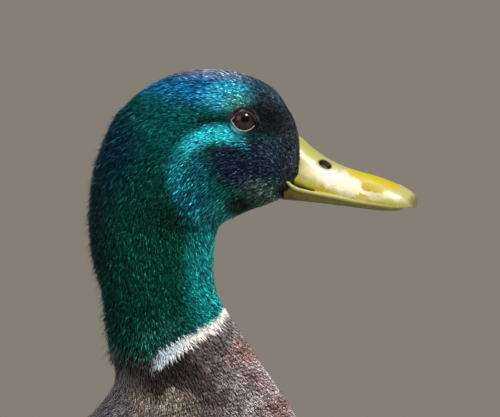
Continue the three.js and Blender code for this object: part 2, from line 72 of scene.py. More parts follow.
# Sections of the feathered body, rear to front: the point on the back (x, z), the point on the belly
# (x, z), the half width, how far up it is widest, the fullness (2 is an ellipse), the coat's depth
# and the length of the feathers that grow there.
BODY = {
    "tail covert tips": (-288, -180, -286, -190, 17, 0.55, 2, 2.5, 20),
    "tail coverts": (-262, -174, -261, -206, 31, 0.58, 2, 3, 22),
    "rump": (-224, -166, -222, -228, 43, 0.6, 2.1, 3.5, 22),
    "loin": (-178, -159, -178, -250, 53, 0.56, 2.2, 4, 22),
    "legs": (-137, -151.5, -134, -266, 60, 0.52, 2.2, 4, 22),
    "mid back": (-103, -143, -90, -273, 63, 0.5, 2.15, 4, 22),
    "mantle": (-80, -134.5, -42, -269, 62.5, 0.47, 2.1, 4, 20),
    "shoulder": (-69.5, -126, 0, -252, 58, 0.45, 2, 4, 17),
    "breast": (-61.5, -118.5, 31, -222, 51, 0.44, 2, 3.6, 14),
    "breast front": (-56.3, -111.5, 43, -187, 44, 0.45, 2, 3.2, 11),
    "upper breast": (-54, -104.5, 36.5, -151, 37.5, 0.47, 2, 2.8, 8.5),
    "neck foot": (-55.4, -96, 20.5, -120.5, 31.5, 0.49, 2, 2.4, 6.5),
    "collar": (-57.1, -85, 3, -94, 27, 0.5, 2, 2.2, 5),
    "lower neck": (-58.9, -71, -9.7, -72, 24.5, 0.5, 2.05, 2, 4.2),
    "mid neck": (-62.9, -55, -11.2, -55.5, 23.6, 0.5, 2.05, 1.8, 4),
    "throat": (-63.9, -36, -8.9, -44, 23.4, 0.5, 2.05, 1.6, 3.6),
    "nape": (-60.3, -14.5, -1.5, -39.5, 23.6, 0.46, 2.1, 1.4, 3.3),
    "back of crown": (-49, 7.3, 4.5, -37, 23.6, 0.43, 2.1, 1.2, 3.2),
    "crown": (-29.5, 19.6, 9, -35.6, 22.4, 0.41, 2.1, 1.1, 3),
    "brow": (-8, 21.4, 12, -34.4, 19.9, 0.42, 2.15, 1, 2.6),
    "forehead": (10.3, 15.4, 14.2, -33.4, 16.4, 0.42, 2.15, 0.9, 2.2),
    "lores": (19.5, 4, 16, -32.6, 13, 0.38, 2.1, 0.7, 1.8),
    "bill base": (23, -5.2, 17.4, -32, 11, 0.34, 2.1, 0.5, 1.5),
    "lore edge": (23.6, -6.1, 21.2, -25.6, 11.2, 0.3, 2.1, 0.4, 1.4),
}

# The folded wings and the scapulars over them swell out of the trunk's sides and back.
WINGS = {
    "hand": (-238, -172, -238, -200, 40, 0.5, 2, 3, 20),
    "wing end": (-200, -164, -200, -220, 54, 0.5, 2.3, 3, 20),
    "secondaries": (-155, -158, -155, -232, 63.5, 0.5, 2.5, 3, 20),
    "speculum": (-108, -148, -108, -234, 69, 0.5, 2.6, 3, 20),
    "coverts": (-60, -142, -60, -224, 68.5, 0.5, 2.5, 3, 17),
    "lesser coverts": (-20, -152, -20, -210, 61, 0.5, 2.3, 3, 14),
    "wrist": (6, -164, 6, -192, 51, 0.5, 2.2, 2.5, 12),
}
SCAPULARS = {
    "tertial tips": (-240, -166, -240, -182, 35, 0.4, 2, 2, 60),
    "tertials": (-208, -158.5, -208, -190, 54, 0.35, 2.1, 3, 58),
    "long": (-165, -152, -165, -190, 65, 0.3, 2.1, 3.5, 50),
    "middle": (-120, -143, -118, -184, 68, 0.3, 2.1, 3.5, 38),
    "upper": (-86, -133.5, -82, -170, 61, 0.3, 2, 3.5, 28),
    "shoulder": (-68, -132, -62, -152, 44, 0.3, 2, 3, 22),
}
# The bill's sections, root to tip, end with the fullness.
UPPER_BILL = {
    "root": (20, -5, 16, -26, 8.6, 0.25, 2.1),
    "base": (24, -6.6, 19.4, -27.2, 9.9, 0.2, 2.1),
    "before nostril": (30, -11.8, 27.2, -29.6, 10.1, 0.13, 2.1),
    "nostril": (38, -17, 36.4, -32, 9.9, 0.1, 2.15),
    "saddle": (47, -20.5, 46, -34.2, 10.4, 0.09, 2.2),
    "spoon": (56, -23, 55.5, -35.8, 11.3, 0.1, 2.25),
    "widest": (63, -25.6, 62.8, -36.6, 11.4, 0.12, 2.2),
    "nail": (68.2, -28.4, 67.8, -36.4, 9.3, 0.2, 2.2),
    "tip": (71.3, -30.6, 71, -36.4, 6.2, 0.35, 2),
    "end": (72.3, -32.3, 72.2, -35.4, 3, 0.5, 2),
}
LOWER_BILL = {
    "base": (17.3, -22, 16.9, -32.8, 8.9, 0.55, 2.2),
    "gape": (27.3, -24, 26.7, -33.6, 8.9, 0.55, 2.2),
    "middle": (41, -28, 41, -35.3, 8.8, 0.5, 2.3),
    "spoon": (56, -31, 56, -37.2, 9.7, 0.5, 2.3),
    "front": (63.5, -33, 63.5, -37.4, 8.2, 0.5, 2.1),
    "end": (66.5, -35, 66.5, -36.8, 4.5, 0.5, 2),
}

# The left leg: its joints, and the radius of the thigh and shank at distances from the ankle.
HIP, ANKLE, TOE_JOINT = (-84, 34, -232), (-111, 31, -287), (-96, 30, -333)
THIGH = ((-3, 3.6), (0, 5), (6, 6.2), (14, 9.5), (24, 14.5), (36, 18.5), (48, 20), (58, 17))
SHANK = ((-4, 3), (-1.5, 4.4), (3, 4.6), (8, 3.5), (20, 2.9), (34, 2.8), (42, 3.6), (47, 3.8))


def follow(rows, t):
    """A smooth curve through evenly spaced rows, at t from 0 to 1."""
    rows = np.asarray(rows, float)
    last = len(rows) - 1
    u = np.clip(np.asarray(t, float), 0, 1) * last
    i = np.minimum(np.floor(u).astype(int), last - 1)
    w = (u - i)[..., None]
    ends = np.vstack([2 * rows[0] - rows[1], rows, 2 * rows[-1] - rows[-2]])
    before, start, end, after = ends[i], ends[i + 1], ends[i + 2], ends[i + 3]
    leave, arrive = (end - before) / 2, (after - start) / 2
    cubic = (2 * start - 2 * end + leave + arrive) * w**3
    square = (3 * end - 3 * start - 2 * leave - arrive) * w**2
    return cubic + square + leave * w + start


class Form:
    """A form lofted through named sections. t runs from its first section (0) to its last (1), and
    a runs round it, from 0 on the back over the bird's left side to pi on the belly."""

    def __init__(self, sections):
        self.names = list(sections)
        self.rows = np.array(list(sections.values()), float)

    def at(self, name):
        return self.names.index(name) / (len(self.names) - 1)

    def between(self, start, end):
        return self.at(start), self.at(end)

    def depth(self, t):
        return follow(self.rows[:, 7:8], t)[..., 0]

    def feather(self, t):
        return follow(self.rows[:, 8:9], t)[..., 0]

    def point(self, t, a, grow=0.0):
        """Points in metres, moved out from the surface by grow, in millimetres."""
        row = follow(self.rows[:, :7], t)
        back, belly = row[..., 0:2], row[..., 2:4]
        half, widest, full = row[..., 4], row[..., 5], row[..., 6]
        up = back - belly
        height = np.linalg.norm(up, axis=-1)
        up = up / height[..., None]
        c, s = np.cos(a), np.sin(a)
        rise = np.sign(c) * np.abs(c) ** (2 / full)
        out = np.sign(s) * np.abs(s) ** (2 / full)
        reach = np.where(rise > 0, 1 - widest, widest) * height + grow
        on_plane = belly + up * (widest * height + rise * reach)[..., None]
        y = (half + grow) * out
        return EYES + MM * np.stack([on_plane[..., 0], y, on_plane[..., 1]], -1)

    def lie(self, t, a, grow=0.0):
        """Unit vectors on the surface: the way its feathers lie, and out from it."""
        step_t, step_a = 0.002, 0.01
        along = self.point(t - step_t, a, grow) - self.point(t + step_t, a, grow)
        round_it = self.point(t, a + step_a, grow) - self.point(t, a - step_a, grow)
        up = np.cross(round_it, along)
        return unit(along), unit(up)


class Stem(Form):
    """A round form along a straight line, with (distance, radius) pairs along it."""

    def __init__(self, start, end, profile, side=1, depth=0, feather=0):
        flip = np.array([1, side, 1])
        self.start, self.end = np.array(start) * flip, np.array(end) * flip
        self.profile = np.array(profile, float)
        self.side, self.coat, self.length = side, depth, feather

    def depth(self, t):
        return np.full(np.shape(t), float(self.coat))

    def feather(self, t):
        return np.full(np.shape(t), float(self.length))

    def point(self, t, a, grow=0.0):
        way = unit(self.end - self.start)
        across = unit(np.cross(way, (0, 1, 0)))
        out = np.cross(across, way)
        distance, radius = np.moveaxis(follow(self.profile, t), -1, 0)
        ring = np.cos(a)[..., None] * across + self.side * np.sin(a)[..., None] * out
        p = self.start + way * distance[..., None] + ring * (radius + grow)[..., None]
        return EYES + MM * p


class Body(Form):
    """The body's form. Its feathers' edge at the bill is bowed forwards on each side."""

    def point(self, t, a, grow=0.0):
        p = super().point(t, a, grow)
        start = self.at("forehead")
        p[..., 0] += 1.4 * MM * ease((t - start) / (1 - start)) * np.sin(a) ** 2
        return p


def unit(v):
    return v / np.maximum(np.linalg.norm(v, axis=-1, keepdims=True), 1e-12)


def ease(x):
    x = np.clip(x, 0, 1)
    return x * x * (3 - 2 * x)


body = Body(BODY)
wings = Form(WINGS)
scapulars = Form(SCAPULARS)
thighs = {
    name: Stem(ANKLE, HIP, THIGH, side, depth=2.5, feather=9) for name, side in SIDES.items()
}


# ---------------------------------------------------------------- Making meshes


def piece(name, mesh, slot, *materials):
    """A finished piece of the bird, riding on its one body."""
    made = bpy.data.objects.new(name, mesh)
    bpy.context.scene.collection.objects.link(made)
    mesh.name = name
    for material in materials:
        mesh.materials.append(material)
    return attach(made, "root")


def mesh_of(bm):
    """A bmesh as a finished mesh, shaded smooth."""
    mesh = bpy.data.meshes.new("mesh")
    for face in bm.faces:
        face.smooth = True
    bm.to_mesh(mesh)
    bm.free()
    return mesh


def rolled(place, along, around, closed_ends=True):
    """A grid rolled into a tube. place(t, a) gives its points; its ends are drawn shut."""
    bm = bmesh.new()
    rows = along + (2 if closed_ends else 0)
    bmesh.ops.create_grid(bm, x_segments=rows, y_segments=around, size=0.5)
    flat = np.array([v.co for v in bm.verts])
    t = (flat[:, 0] + 0.5) * rows
    if closed_ends:
        t = t - 1
    shut = (t < -0.5) | (t > along + 0.5)
    t = np.clip(t / along, 0, 1)
    a = (flat[:, 1] + 0.5) * 2 * math.pi
    found = place(t, a)
    if closed_ends:
        for end in (0, 1):
            ring = shut & (t == end)
            found[ring] = found[ring].mean(axis=0)
    for vert, co in zip(bm.verts, found):
        vert.co = co
    bmesh.ops.remove_doubles(bm, verts=bm.verts, dist=1e-7)
    bmesh.ops.dissolve_degenerate(bm, edges=bm.edges, dist=1e-8)
    bmesh.ops.recalc_face_normals(bm, faces=bm.faces)
    return bm


def join(*parts):
    """One bmesh with the faces of several."""
    whole = parts[0]
    for part in parts[1:]:
        spare = bpy.data.meshes.new("spare")
        part.to_mesh(spare)
        part.free()
        whole.from_mesh(spare)
        bpy.data.meshes.remove(spare)
    return whole


def fused(bm, voxel, smoothing):
    """The one closed skin over parts that run into each other, evened out."""
    rough = bpy.data.objects.new("rough", mesh_of(bm))
    bpy.context.scene.collection.objects.link(rough)
    remesh = rough.modifiers.new("remesh", "REMESH")
    remesh.mode = "VOXEL"
    remesh.voxel_size = voxel * MM
    remesh.use_smooth_shade = True
    even = rough.modifiers.new("even", "SMOOTH")
    even.factor = 0.5
    even.iterations = smoothing
    seen = rough.evaluated_get(bpy.context.evaluated_depsgraph_get())
    mesh = bpy.data.meshes.new_from_object(seen)
    bpy.data.objects.remove(rough)
    return mesh


# ---------------------------------------------------------------- Making a coat


def scatter(form, spacing, ends, seed, wanted):
    """Roots spread over a form between two values of t, where wanted(p, t, a) holds: their t and a.
    Spacing is how far apart they are in millimetres, as a number or a function of t."""
    if not callable(spacing):
        even, spacing = float(spacing), lambda t: np.full(np.shape(t), even)
    rng = np.random.default_rng(seed)
    cells_t, cells_a = 240, 180
    tries_for_each = 3.2  # so that few gaps are left when crowded ones go
    edge_t = np.linspace(ends[0], ends[1], cells_t + 1)
    edge_a = np.linspace(0, 2 * math.pi, cells_a + 1)
    corner = form.point(*np.meshgrid(edge_t, edge_a, indexing="ij"))
    one = corner[1:, 1:] - corner[:-1, :-1]
    other = corner[:-1, 1:] - corner[1:, :-1]
    area = np.linalg.norm(np.cross(one, other), axis=-1) / 2 / MM**2
    middle = (edge_t[1:] + edge_t[:-1]) / 2
    share = (area / spacing(middle)[:, None] ** 2).ravel()
    tries = int(share.sum() * tries_for_each)
    cell = rng.choice(share.size, tries, p=share / share.sum())
    i, j = np.divmod(cell, cells_a)
    t = edge_t[0] + (i + rng.random(tries)) / cells_t * (ends[1] - ends[0])
    a = (j + rng.random(tries)) / cells_a * 2 * math.pi
    p = form.point(t, a)
    keep = wanted(p, t, a)
    t, a, p = t[keep], a[keep], p[keep]
    near = KDTree(len(p))
    for k, co in enumerate(p):
        near.insert(co, k)
    near.balance()
    radius = spacing(t) * MM
    free = np.ones(len(p), bool)
    for k in range(len(p)):
        if free[k]:
            for _, other_k, _ in near.find_range(p[k], radius[k]):
                if other_k > k:
                    free[other_k] = False
    return t[free], a[free]


def tuft_shape():
    """A short filament tuft: a sharp leaf with a raised middle. Its points are shares of its length
    along, of its width across, and of its width in height."""
    bm = bmesh.new()
    root, left, right, ridge, tip = [
        bm.verts.new(co)
        for co in ((-0.12, 0, 0), (0.42, -0.5, 0), (0.42, 0.5, 0), (0.5, 0, 0.3), (1, 0, 0))
    ]
    bmesh.ops.convex_hull(bm, input=[root, left, right, ridge, tip])
    return corners_and_faces(bm)


VANE_CAMBER, VANE_THICK = 0.06, 0.02  # its arch and half its thickness, as shares of its width


def vane_shape(rows, columns, outline):
    """A thin closed vane with a sharp rim. The outline is its width at even steps, root to tip."""
    bm = bmesh.new()
    bmesh.ops.create_grid(bm, x_segments=rows, y_segments=columns, size=0.5)
    steps = np.linspace(0, 1, len(outline))
    inner = [v for v in bm.verts if not v.is_boundary]
    for vert in bm.verts:
        x, side = vert.co.x + 0.5, vert.co.y * 2
        wide = np.interp(x, steps, outline)
        vert.co = (x, side * wide / 2, VANE_CAMBER * (1 - side * side) * wide)
    for vert in inner:
        vert.co.z += VANE_THICK
    copied = bmesh.ops.duplicate(bm, geom=bm.verts[:] + bm.edges[:] + bm.faces[:])
    for vert in inner:
        copied["vert_map"][vert].co.z -= 2 * VANE_THICK
    bmesh.ops.remove_doubles(bm, verts=bm.verts, dist=1e-5)
    bmesh.ops.dissolve_degenerate(bm, edges=bm.edges, dist=1e-5)
    bmesh.ops.recalc_face_normals(bm, faces=bm.faces)
    return corners_and_faces(bm)


def corners_and_faces(bm):
    bmesh.ops.triangulate(bm, faces=bm.faces)
    corners = np.array([v.co for v in bm.verts])
    bm.verts.index_update()
    faces = np.array([[v.index for v in f.verts] for f in bm.faces])
    bm.free()
    return corners, faces


class Roots:
    """Where feathers grow: their places, the way they lie, their up, their place on an unwrap of what
    they grow on (0 to 1 each way), and a random number each."""

    def __init__(self, place, lie, up, unwrap, seed):
        self.rng = np.random.default_rng(seed)
        self.place, self.lie = np.asarray(place, float), unit(np.asarray(lie, float))
        side = np.cross(np.asarray(up, float), self.lie)
        self.up = unit(np.cross(self.lie, side))
        self.unwrap = np.clip(unwrap, 0, 1)
        self.chance = self.rng.random(len(self.place))
        self.parent = None  # for barbs: where each sits on its feather, the feather's size and the slant

    def sway(self, amount):
        """Turns each feather a little from the lie of the coat, in radians."""
        side = np.cross(self.up, self.lie)
        turn = self.rng.normal(0, amount, len(self.place))[:, None]
        self.lie = unit(self.lie * np.cos(turn) + side * np.sin(turn))
        return self

    def vary(self, amount):
        """A random share each, from 1 - amount to 1 + amount."""
        return 1 + amount * (2 * self.rng.random(len(self.place)) - 1)


def roots_on(form, t, a, ends, seed):
    """Roots on the skin under a form's coat."""
    grow = -form.depth(t)
    lie, up = form.lie(t, a, grow)
    unwrap = np.stack([a / (2 * math.pi), (t - ends[0]) / (ends[1] - ends[0])], -1)
    return Roots(form.point(t, a, grow), lie, up, unwrap, seed)


def rooted(form, spacing, ends, seeds, sway, wanted, unwrap=None):
    """Roots scattered over a form and swayed, after their t and a. Unwrap is the stretch of t that
    their map covers, where that isn't the stretch that they grow on."""
    t, a = scatter(form, spacing, ends, seeds[0], wanted)
    return t, a, roots_on(form, t, a, unwrap or ends, seeds[1]).sway(sway)


PATCH = 0.003  # side of the patch that one feather takes on the unwrap


def laid(material, shape, roots, length, width, low, high, drape=None, bow=0.0, bend=None):
    """A copy of a feather's shape at each root. Length, width and the heights of root and tip above
    the skin are in millimetres, one each or the same for all. A draped feather follows the skin, and
    any other droops by bow, a share of its length, or follows bend, points (ahead, up) in mm."""
    corners, faces = shape
    count, size = len(roots.place), len(corners)
    full = [np.broadcast_to(np.asarray(v, float), count) for v in (length, width, low, high)]
    length, width, low, high = [v[:, None] for v in full]
    x, y, z = corners.T
    side = np.cross(roots.up, roots.lie)
    across = (width * y)[..., None]
    rise = low + (high - low) * x + width * z
    if bend is None:
        ahead, rise = length * x, rise - bow * length * x * x
    else:
        run = follow(bend, x)
        way = unit(follow(bend, x + 0.01) - follow(bend, x - 0.01))
        ahead, rise = run[:, 0] - way[:, 1] * rise, run[:, 1] + way[:, 0] * rise
    p = roots.place[:, None] + MM * (roots.lie[:, None] * ahead[..., None] + side[:, None] * across)
    if drape is None:
        p = p + MM * roots.up[:, None] * rise[..., None]
    else:
        flat = p.reshape(-1, 3)
        out = np.empty_like(flat)
        for k, (co, lift) in enumerate(zip(flat, rise.reshape(-1))):
            near, normal, _, _ = drape.find_nearest(co)
            out[k] = np.array(near) + np.array(normal) * lift * MM
        p = out.reshape(p.shape)
    shown = roots.place + roots.lie * length * 0.55 * MM
    vane = np.stack([np.tile(x, count), np.tile(y, count), np.repeat(roots.chance, size)], -1)
    span = np.repeat(np.concatenate([length, width, high], -1), size, axis=0)
    if roots.parent is not None:
        vane = np.repeat(roots.parent[:, :3], size, axis=0)
        span = np.repeat(roots.parent[:, 3:6], size, axis=0)
        turn = roots.parent[:, 6:]
        run, off = length * x, width * y
        vane[:, 0] += ((run * np.cos(turn) - off * np.sin(turn)) / roots.parent[:, 3:4]).ravel()
        vane[:, 1] += ((run * np.sin(turn) + off * np.cos(turn)) / roots.parent[:, 4:5]).ravel()
    return {
        "material": material,
        "corners": corners,
        "lie": roots.lie,
        "up": roots.up,
        "co": p.reshape(-1, 3),
        "faces": (faces[None] + size * np.arange(count)[:, None, None]).reshape(-1, 3),
        "unwrap": np.repeat(roots.unwrap, size, axis=0),
        "patch": np.tile(np.stack([y, x - 0.5], -1) * PATCH, (count, 1)),
        "root": np.repeat(shown, size, axis=0),
        "vane": vane,
        "span": span,
    }


def coat(name, slot, *batches):
    """One piece of the coat, joined from laid feathers. Its map holds a small patch for each feather,
    at its root's place on the unwrap of the skin."""
    held = {
        key: np.concatenate([batch[key] for batch in batches])
        for key in ("co", "unwrap", "patch", "root", "vane", "span")
    }
    starts = np.cumsum([0] + [len(batch["co"]) for batch in batches])
    faces = np.concatenate([batch["faces"] + start for batch, start in zip(batches, starts)])
    which = np.repeat(np.arange(len(batches)), [len(batch["faces"]) for batch in batches])
    mesh = bpy.data.meshes.new(name)
    mesh.vertices.add(len(held["co"]))
    mesh.vertices.foreach_set("co", held["co"].astype(np.float32).ravel())
    mesh.loops.add(faces.size)
    mesh.loops.foreach_set("vertex_index", faces.astype(np.int32).ravel())
    mesh.polygons.add(len(faces))
    mesh.polygons.foreach_set("loop_start", np.arange(0, faces.size, 3, dtype=np.int32))
    mesh.polygons.foreach_set("use_smooth", np.ones(len(faces), bool))
    mesh.polygons.foreach_set("material_index", which.astype(np.int32))
    mesh.update(calc_edges=True)
    low, high = held["unwrap"].min(axis=0), held["unwrap"].max(axis=0)
    spots = PATCH + (held["unwrap"] - low) / (high - low) * (1 - 2 * PATCH)
    uv = (spots + held["patch"])[faces.ravel()]
    mesh.uv_layers.new(name="OFBake").data.foreach_set("uv", uv.astype(np.float32).ravel())
    for key in ("root", "vane", "span"):
        layer = mesh.attributes.new(key, "FLOAT_VECTOR", "POINT")
        layer.data.foreach_set("vector", held[key].astype(np.float32).ravel())
    return piece(name, mesh, slot, *[batch["material"] for batch in batches])


# ---------------------------------------------------------------- Finishes


def linear(colour):
    """A sRGB hex colour as linear red, green, blue, alpha."""
    parts = [int(colour[k : k + 2], 16) / 255 for k in (1, 3, 5)]
    return [c / 12.92 if c <= 0.04045 else ((c + 0.055) / 1.055) ** 2.4 for c in parts] + [1]


def feed(tree, node, inputs):
    """Feeds a node's inputs, by name or number, with sockets, nodes, hex colours or plain values."""
    for key, value in inputs.items():
        open_ones = [s for s in node.inputs if s.enabled]
        socket = open_ones[key] if isinstance(key, int) else next(s for s in open_ones if s.name == key)
        if isinstance(value, str):
            value = linear(value)
        if isinstance(value, bpy.types.Node):
            value = next(s for s in value.outputs if s.enabled)
        if isinstance(value, bpy.types.NodeSocket):
            tree.links.new(value, socket)
        else:
            socket.default_value = value
    return node


def add(tree, kind, *inputs, **settings):
    """Adds a node with its settings, and feeds its inputs: in their order, or by name in one dict."""
    made = tree.nodes.new("ShaderNode" + kind)
    for key, value in settings.items():
        setattr(made, key, value)
    by_name = bool(inputs) and isinstance(inputs[0], dict)
    return feed(tree, made, inputs[0] if by_name else dict(enumerate(inputs)))


def finish(name, inputs):
    """A material with one Principled shader, and its node tree."""
    made = bpy.data.materials.new(name)
    made.use_nodes = True
    shader = feed(made.node_tree, made.node_tree.nodes["Principled BSDF"], inputs)
    return made, made.node_tree, shader


def set_stops(ramp, stops):
    """Gives a colour ramp its stops, as (position, colour) from the first to the last."""
    held = ramp.color_ramp.elements
    held[0].position, held[0].color = stops[0]
    held[1].position, held[1].color = stops[-1]
    for position, colour in stops[1:-1]:
        held.new(position).color = colour


# A Map Range node's settings for a soft edge. Its inputs are the value, where the edge starts and where
# it ends, and what it gives at each, which is 0 and 1 unless it is said.
SOFT_EDGE = {"interpolation_type": "SMOOTHSTEP"}


def patch_mask(tree, place, patch, strength=1.0, arc=None):
    """How far inside a soft ellipse of the side plane a place is, strength in its middle and 0 outside.
    With arc, how near it is to the ellipse's own line instead, as a share of its size."""
    x, z, reach_x, reach_z, turn, soft = patch
    seen = add(
        tree,
        "Mapping",
        {
            "Vector": place,
            "Location": (x, 0, z),
            "Rotation": (0, math.radians(-turn), 0),
            "Scale": (reach_x, EVER, reach_z),
        },
        vector_type="TEXTURE",
    )
    away = add(tree, "VectorMath", seen, operation="LENGTH")
    if arc:
        off = add(tree, "Math", away, 1.0, operation="SUBTRACT")
        off = add(tree, "Math", off, operation="ABSOLUTE")
        away = add(tree, "Math", off, arc, operation="DIVIDE")
    return add(tree, "MapRange", away, 1 + soft, 1 - soft, 0.0, strength, **SOFT_EDGE)


def overlap(tree, *masks):
    """Where several masks all are, as their product."""
    whole = masks[0]
    for mask in masks[1:]:
        whole = add(tree, "Math", whole, mask, operation="MULTIPLY")
    return whole


def painted(tree, ground, *coats):
    """A ground colour with others laid over it in turn, each as (mask, colour)."""
    for mask, colour in coats:
        ground = add(tree, "Mix", mask, ground, colour, data_type="RGBA")
    return ground


def patched(tree, place, ground, patches):
    """A ground colour with soft patches laid over it in turn."""
    coats = [
        (patch_mask(tree, place, patch, strength), tone) for *patch, tone, strength in patches.values()
    ]
    return painted(tree, ground, *coats)


def from_eyes(tree, here):
    """A place in the frame as millimetres from the point between the eyes."""
    away = add(tree, "VectorMath", here, tuple(EYES), operation="SUBTRACT")
    return add(tree, "VectorMath", away, 1 / MM, operation="SCALE")


def ragged(tree, place, scale, detail, reach):
    """A place strayed by noise, by up to about half of reach in millimetres, so that patches have torn
    edges."""
    noise = add(tree, "TexNoise", {"Vector": place, "Scale": scale, "Detail": detail})
    off = add(tree, "VectorMath", noise.outputs["Color"], (0.5, 0.5, 0.5), operation="SUBTRACT")
    off = add(tree, "VectorMath", off, reach, operation="SCALE")
    return add(tree, "VectorMath", place, off, operation="ADD")


EVER = 1e6  # a reach across the side plane that no patch ends at
# Colour patches of the drake's head and neck in side view: where (x, z), how far each way, turned by
# (degrees), how soft its edge is, its colour, how strong it is, and how far single tufts stray from it.
HEAD, HEAD_STRAY, BAND_STRAY = "#054f45", 0.2, 0.6
PATCHES = {
    "side of the head": (-32, 2, 24, 20, 0, 0.8, "#075f60", 1, 0.2),
    "back of the head": (-56, -7, 12, 30, 25, 0.8, "#0b3048", 0.9, 0.5),
    "hind neck": (-67, -52, 13, 54, 4, 0.6, "#1b2a36", 0.9, 0.3),
    "neck side": (-38, -62, 14, 34, 0, 0.8, "#0a5340", 0.8, 0.7),
    # Partly the neck's own teal gloss, partly painted light: the front of the neck painted bright cyan
    # where sun would strike it.
    "sunlit front of the neck": (-10, -63, 11, 25, 0, 0.6, "#28c4c6", 1, 1),
    "foot of the neck": (-34, -90, 11, 7, 20, 0.6, "#277064", 0.9, 0.6),
    "under the ear": (-27, -41, 9, 7, 0, 0.6, "#0a3327", 1, 0.5),
    "throat": (-14, -40, 6, 6, 0, 0.6, "#2a8f98", 0.9, 1),
    "crown": (-21, 17, 24, 9.5, -6, 0.5, "#1a80ba", 1, 0.7),
    # Painted highlights: the pale top of the crown and the sheen below it stand for sky reflected in the
    # crown's gloss.
    "painted highlight on the crown top": (-14, 24, 32, 5.8, 0, 0.5, "#a2accb", 0.85, 1),
    "sheen of the crown": (-3, 18, 10, 2.5, -8, 0.6, "#94a2b4", 0.45, 1),
    "over the eye": (-7, 10.5, 9, 5, 8, 0.6, "#4cd8ff", 0.9, 0.9),
    "behind the brow": (-2, 7, 6, 3.6, 0, 0.7, "#62b8a8", 0.8, 1),
    "streak behind the eye": (-13, -0.6, 7, 1.6, 4, 0.6, "#0a2b2e", 0.9, 0.5),
    "ear stipple": (-21, -27, 7, 13, 0, 0.6, "#1b7f90", 1, 1),
    "rear edge of the ear": (-28, -24, 3, 8, 6, 0.6, "#1f9cae", 0.85, 1),
    "cheek": (3, -18, 17, 11, -8, 0.4, "#263550", 1, 1),
    "lower jaw": (11, -30, 11, 5, -12, 0.7, "#54736c", 1, 1),
    "cheek by the bill": (12, -11, 5, 6, 0, 0.6, "#4c6470", 0.5, 1),
    "chin": (-1, -36, 8, 4, -20, 0.6, "#26322f", 0.9, 1),
    "forehead": (21, 7, 18, 17, 30, 0.4, "#171c1f", 1, 0.4),
    "brow of the forehead": (9, 16, 12, 6, -40, 0.7, "#3a5361", 0.7, 1),
    "ring of the eye": (3, 0, 9, 6, 0, 0.5, "#14171a", 0.9, 0.3),
    "bill edge": (21, -15, 6, 15, -4, 0.7, "#343840", 0.95, 1),
    "gape corner": (17, -29.5, 4, 2.4, -20, 0.6, "#241c20", 0.9, 0.4),
}
# The bright band that sweeps back from under the eye and down, as an arc of an ellipse, and the patch
# that it shows in.
BAND = {"ellipse": (-10, -24, 18, 18.2, 0, 0.8), "half": 0.17, "colour": "#40e6f6"}
BAND_WINDOW = (-14, -5, 12, 20, 0, 0.6)
# How much brighter or darker a stray tuft is, by its random number: tone that differs at random, with
# the brightest tufts painted glints where light would catch them.
GLINTS = ((0.0, 0.18), (0.35, 0.36), (0.7, 0.85), (0.88, 1.6), (1.0, 4))


def head_colour(tree, place, chance):
    """The head and neck's colour from its patches, with bright and dark tufts strewn through it; the
    brightest stand for painted glints of light on single tufts.
    """
    colour, stray = HEAD, HEAD_STRAY
    for *patch, tone, strength, loose in PATCHES.values():
        mask = patch_mask(tree, place, patch, strength)
        colour = painted(tree, colour, (mask, tone))
        stray = add(tree, "Mix", mask, stray, loose)
    band = patch_mask(tree, place, BAND["ellipse"], arc=BAND["half"])
    band = overlap(tree, band, patch_mask(tree, place, BAND_WINDOW))
    colour = painted(tree, colour, (band, BAND["colour"]))
    stray = add(tree, "Mix", band, stray, BAND_STRAY)
    glint = add(tree, "ValToRGB", chance)
    set_stops(glint, [(share, (bright, bright, bright, 1)) for share, bright in GLINTS])
    strewn = add(tree, "Mix", 1.0, colour, glint, data_type="RGBA", blend_type="MULTIPLY")
    return painted(tree, colour, (stray, strewn))


# The white ring's middle line in side view, the highest of three slopes, as height over distance. It
# falls from the front, where it is steepest, and fades out as it turns up towards the hind neck.
RING_SLOPES = ((0.62, -78.0), (2.4, -60.4), (-0.3, -114.8))
RING_TOP = -75.5  # its middle line rises no further
RING_HALF = (2.4, 3.5, 4.2)  # half its height, low on the side, behind that and where it climbs in front
WAVE_AT_ONE = 0.314  # a wave texture's bands lie this far apart at a scale of 1
WAVE_EDGE = (0.35, 0.75)  # where in a wave texture's rise a dark bar starts, and where it is whole
ROW_MM = 1.75  # from one row of small breast feathers to the next
ROW_BREAK_MM = 4.0  # from one gap in those rows to the next
MOTTLE_MM = 5.5  # from one lighter or darker spot of the breast to the next
# Where one ground colour gives way to the next, as (x, z, tilt) of a plane across the body.
GREY_FROM = (-34, -180, -62)
BLACK_FROM = (-219, -195, 66)
# Stretches over which a marking comes in, in millimetres along x, up z or over the ring's middle line.
BREAST_SUNLIT_FRONT_X, BREAST_LOW_Z = (-15.0, 14.0), (-116.0, -158.0)
MANTLE_X, SHOULDER_Z = (-34.0, -58.0), (-121.0, -134.0)
ROWS_X, MOTTLE_X, FLANK_Z = (-46.0, -26.0), (-44.0, -34.0), (-150.0, -200.0)
# The last three stretches place a painted shadow just under the white ring.
RING_SHADOW_FRONT_X, RING_SHADOW_REAR_X, RING_SHADOW_OVER = (-12.0, -26.0), (-46.0, -36.0), (-14.0, -6.0)
RING_SIDE_X, RING_CLIMB_X, RING_END_X = (-17.0, -32.0), (-11.5, -8.0), (-39.0, -32.5)
RING_RAGGED_X = (-33.0, -45.0)
# The second of these is a painted highlight: the breast's front painted pale where sun would fall.
BREAST, BREAST_SUNLIT_FRONT, BREAST_LOW, ROW_DARK = "#7d6e73", "#f0e2e6", "#54332a", "#3d3032"
MANTLE, SHOULDER, FLANK, RUMP = "#62646c", "#857d75", "#b3aea4", "#0b0d0e"
# The first two are the white ring in painted light and painted shade: cream where lit in front,
# blue-grey towards the rear.
# The last of these is a painted shadow, near black, under the white ring.
RING_LIT_CREAM, RING_PAINTED_SHADE, RING_SHADOW_TONE = "#fffdf6", "#ccd6e2", "#1d1714"
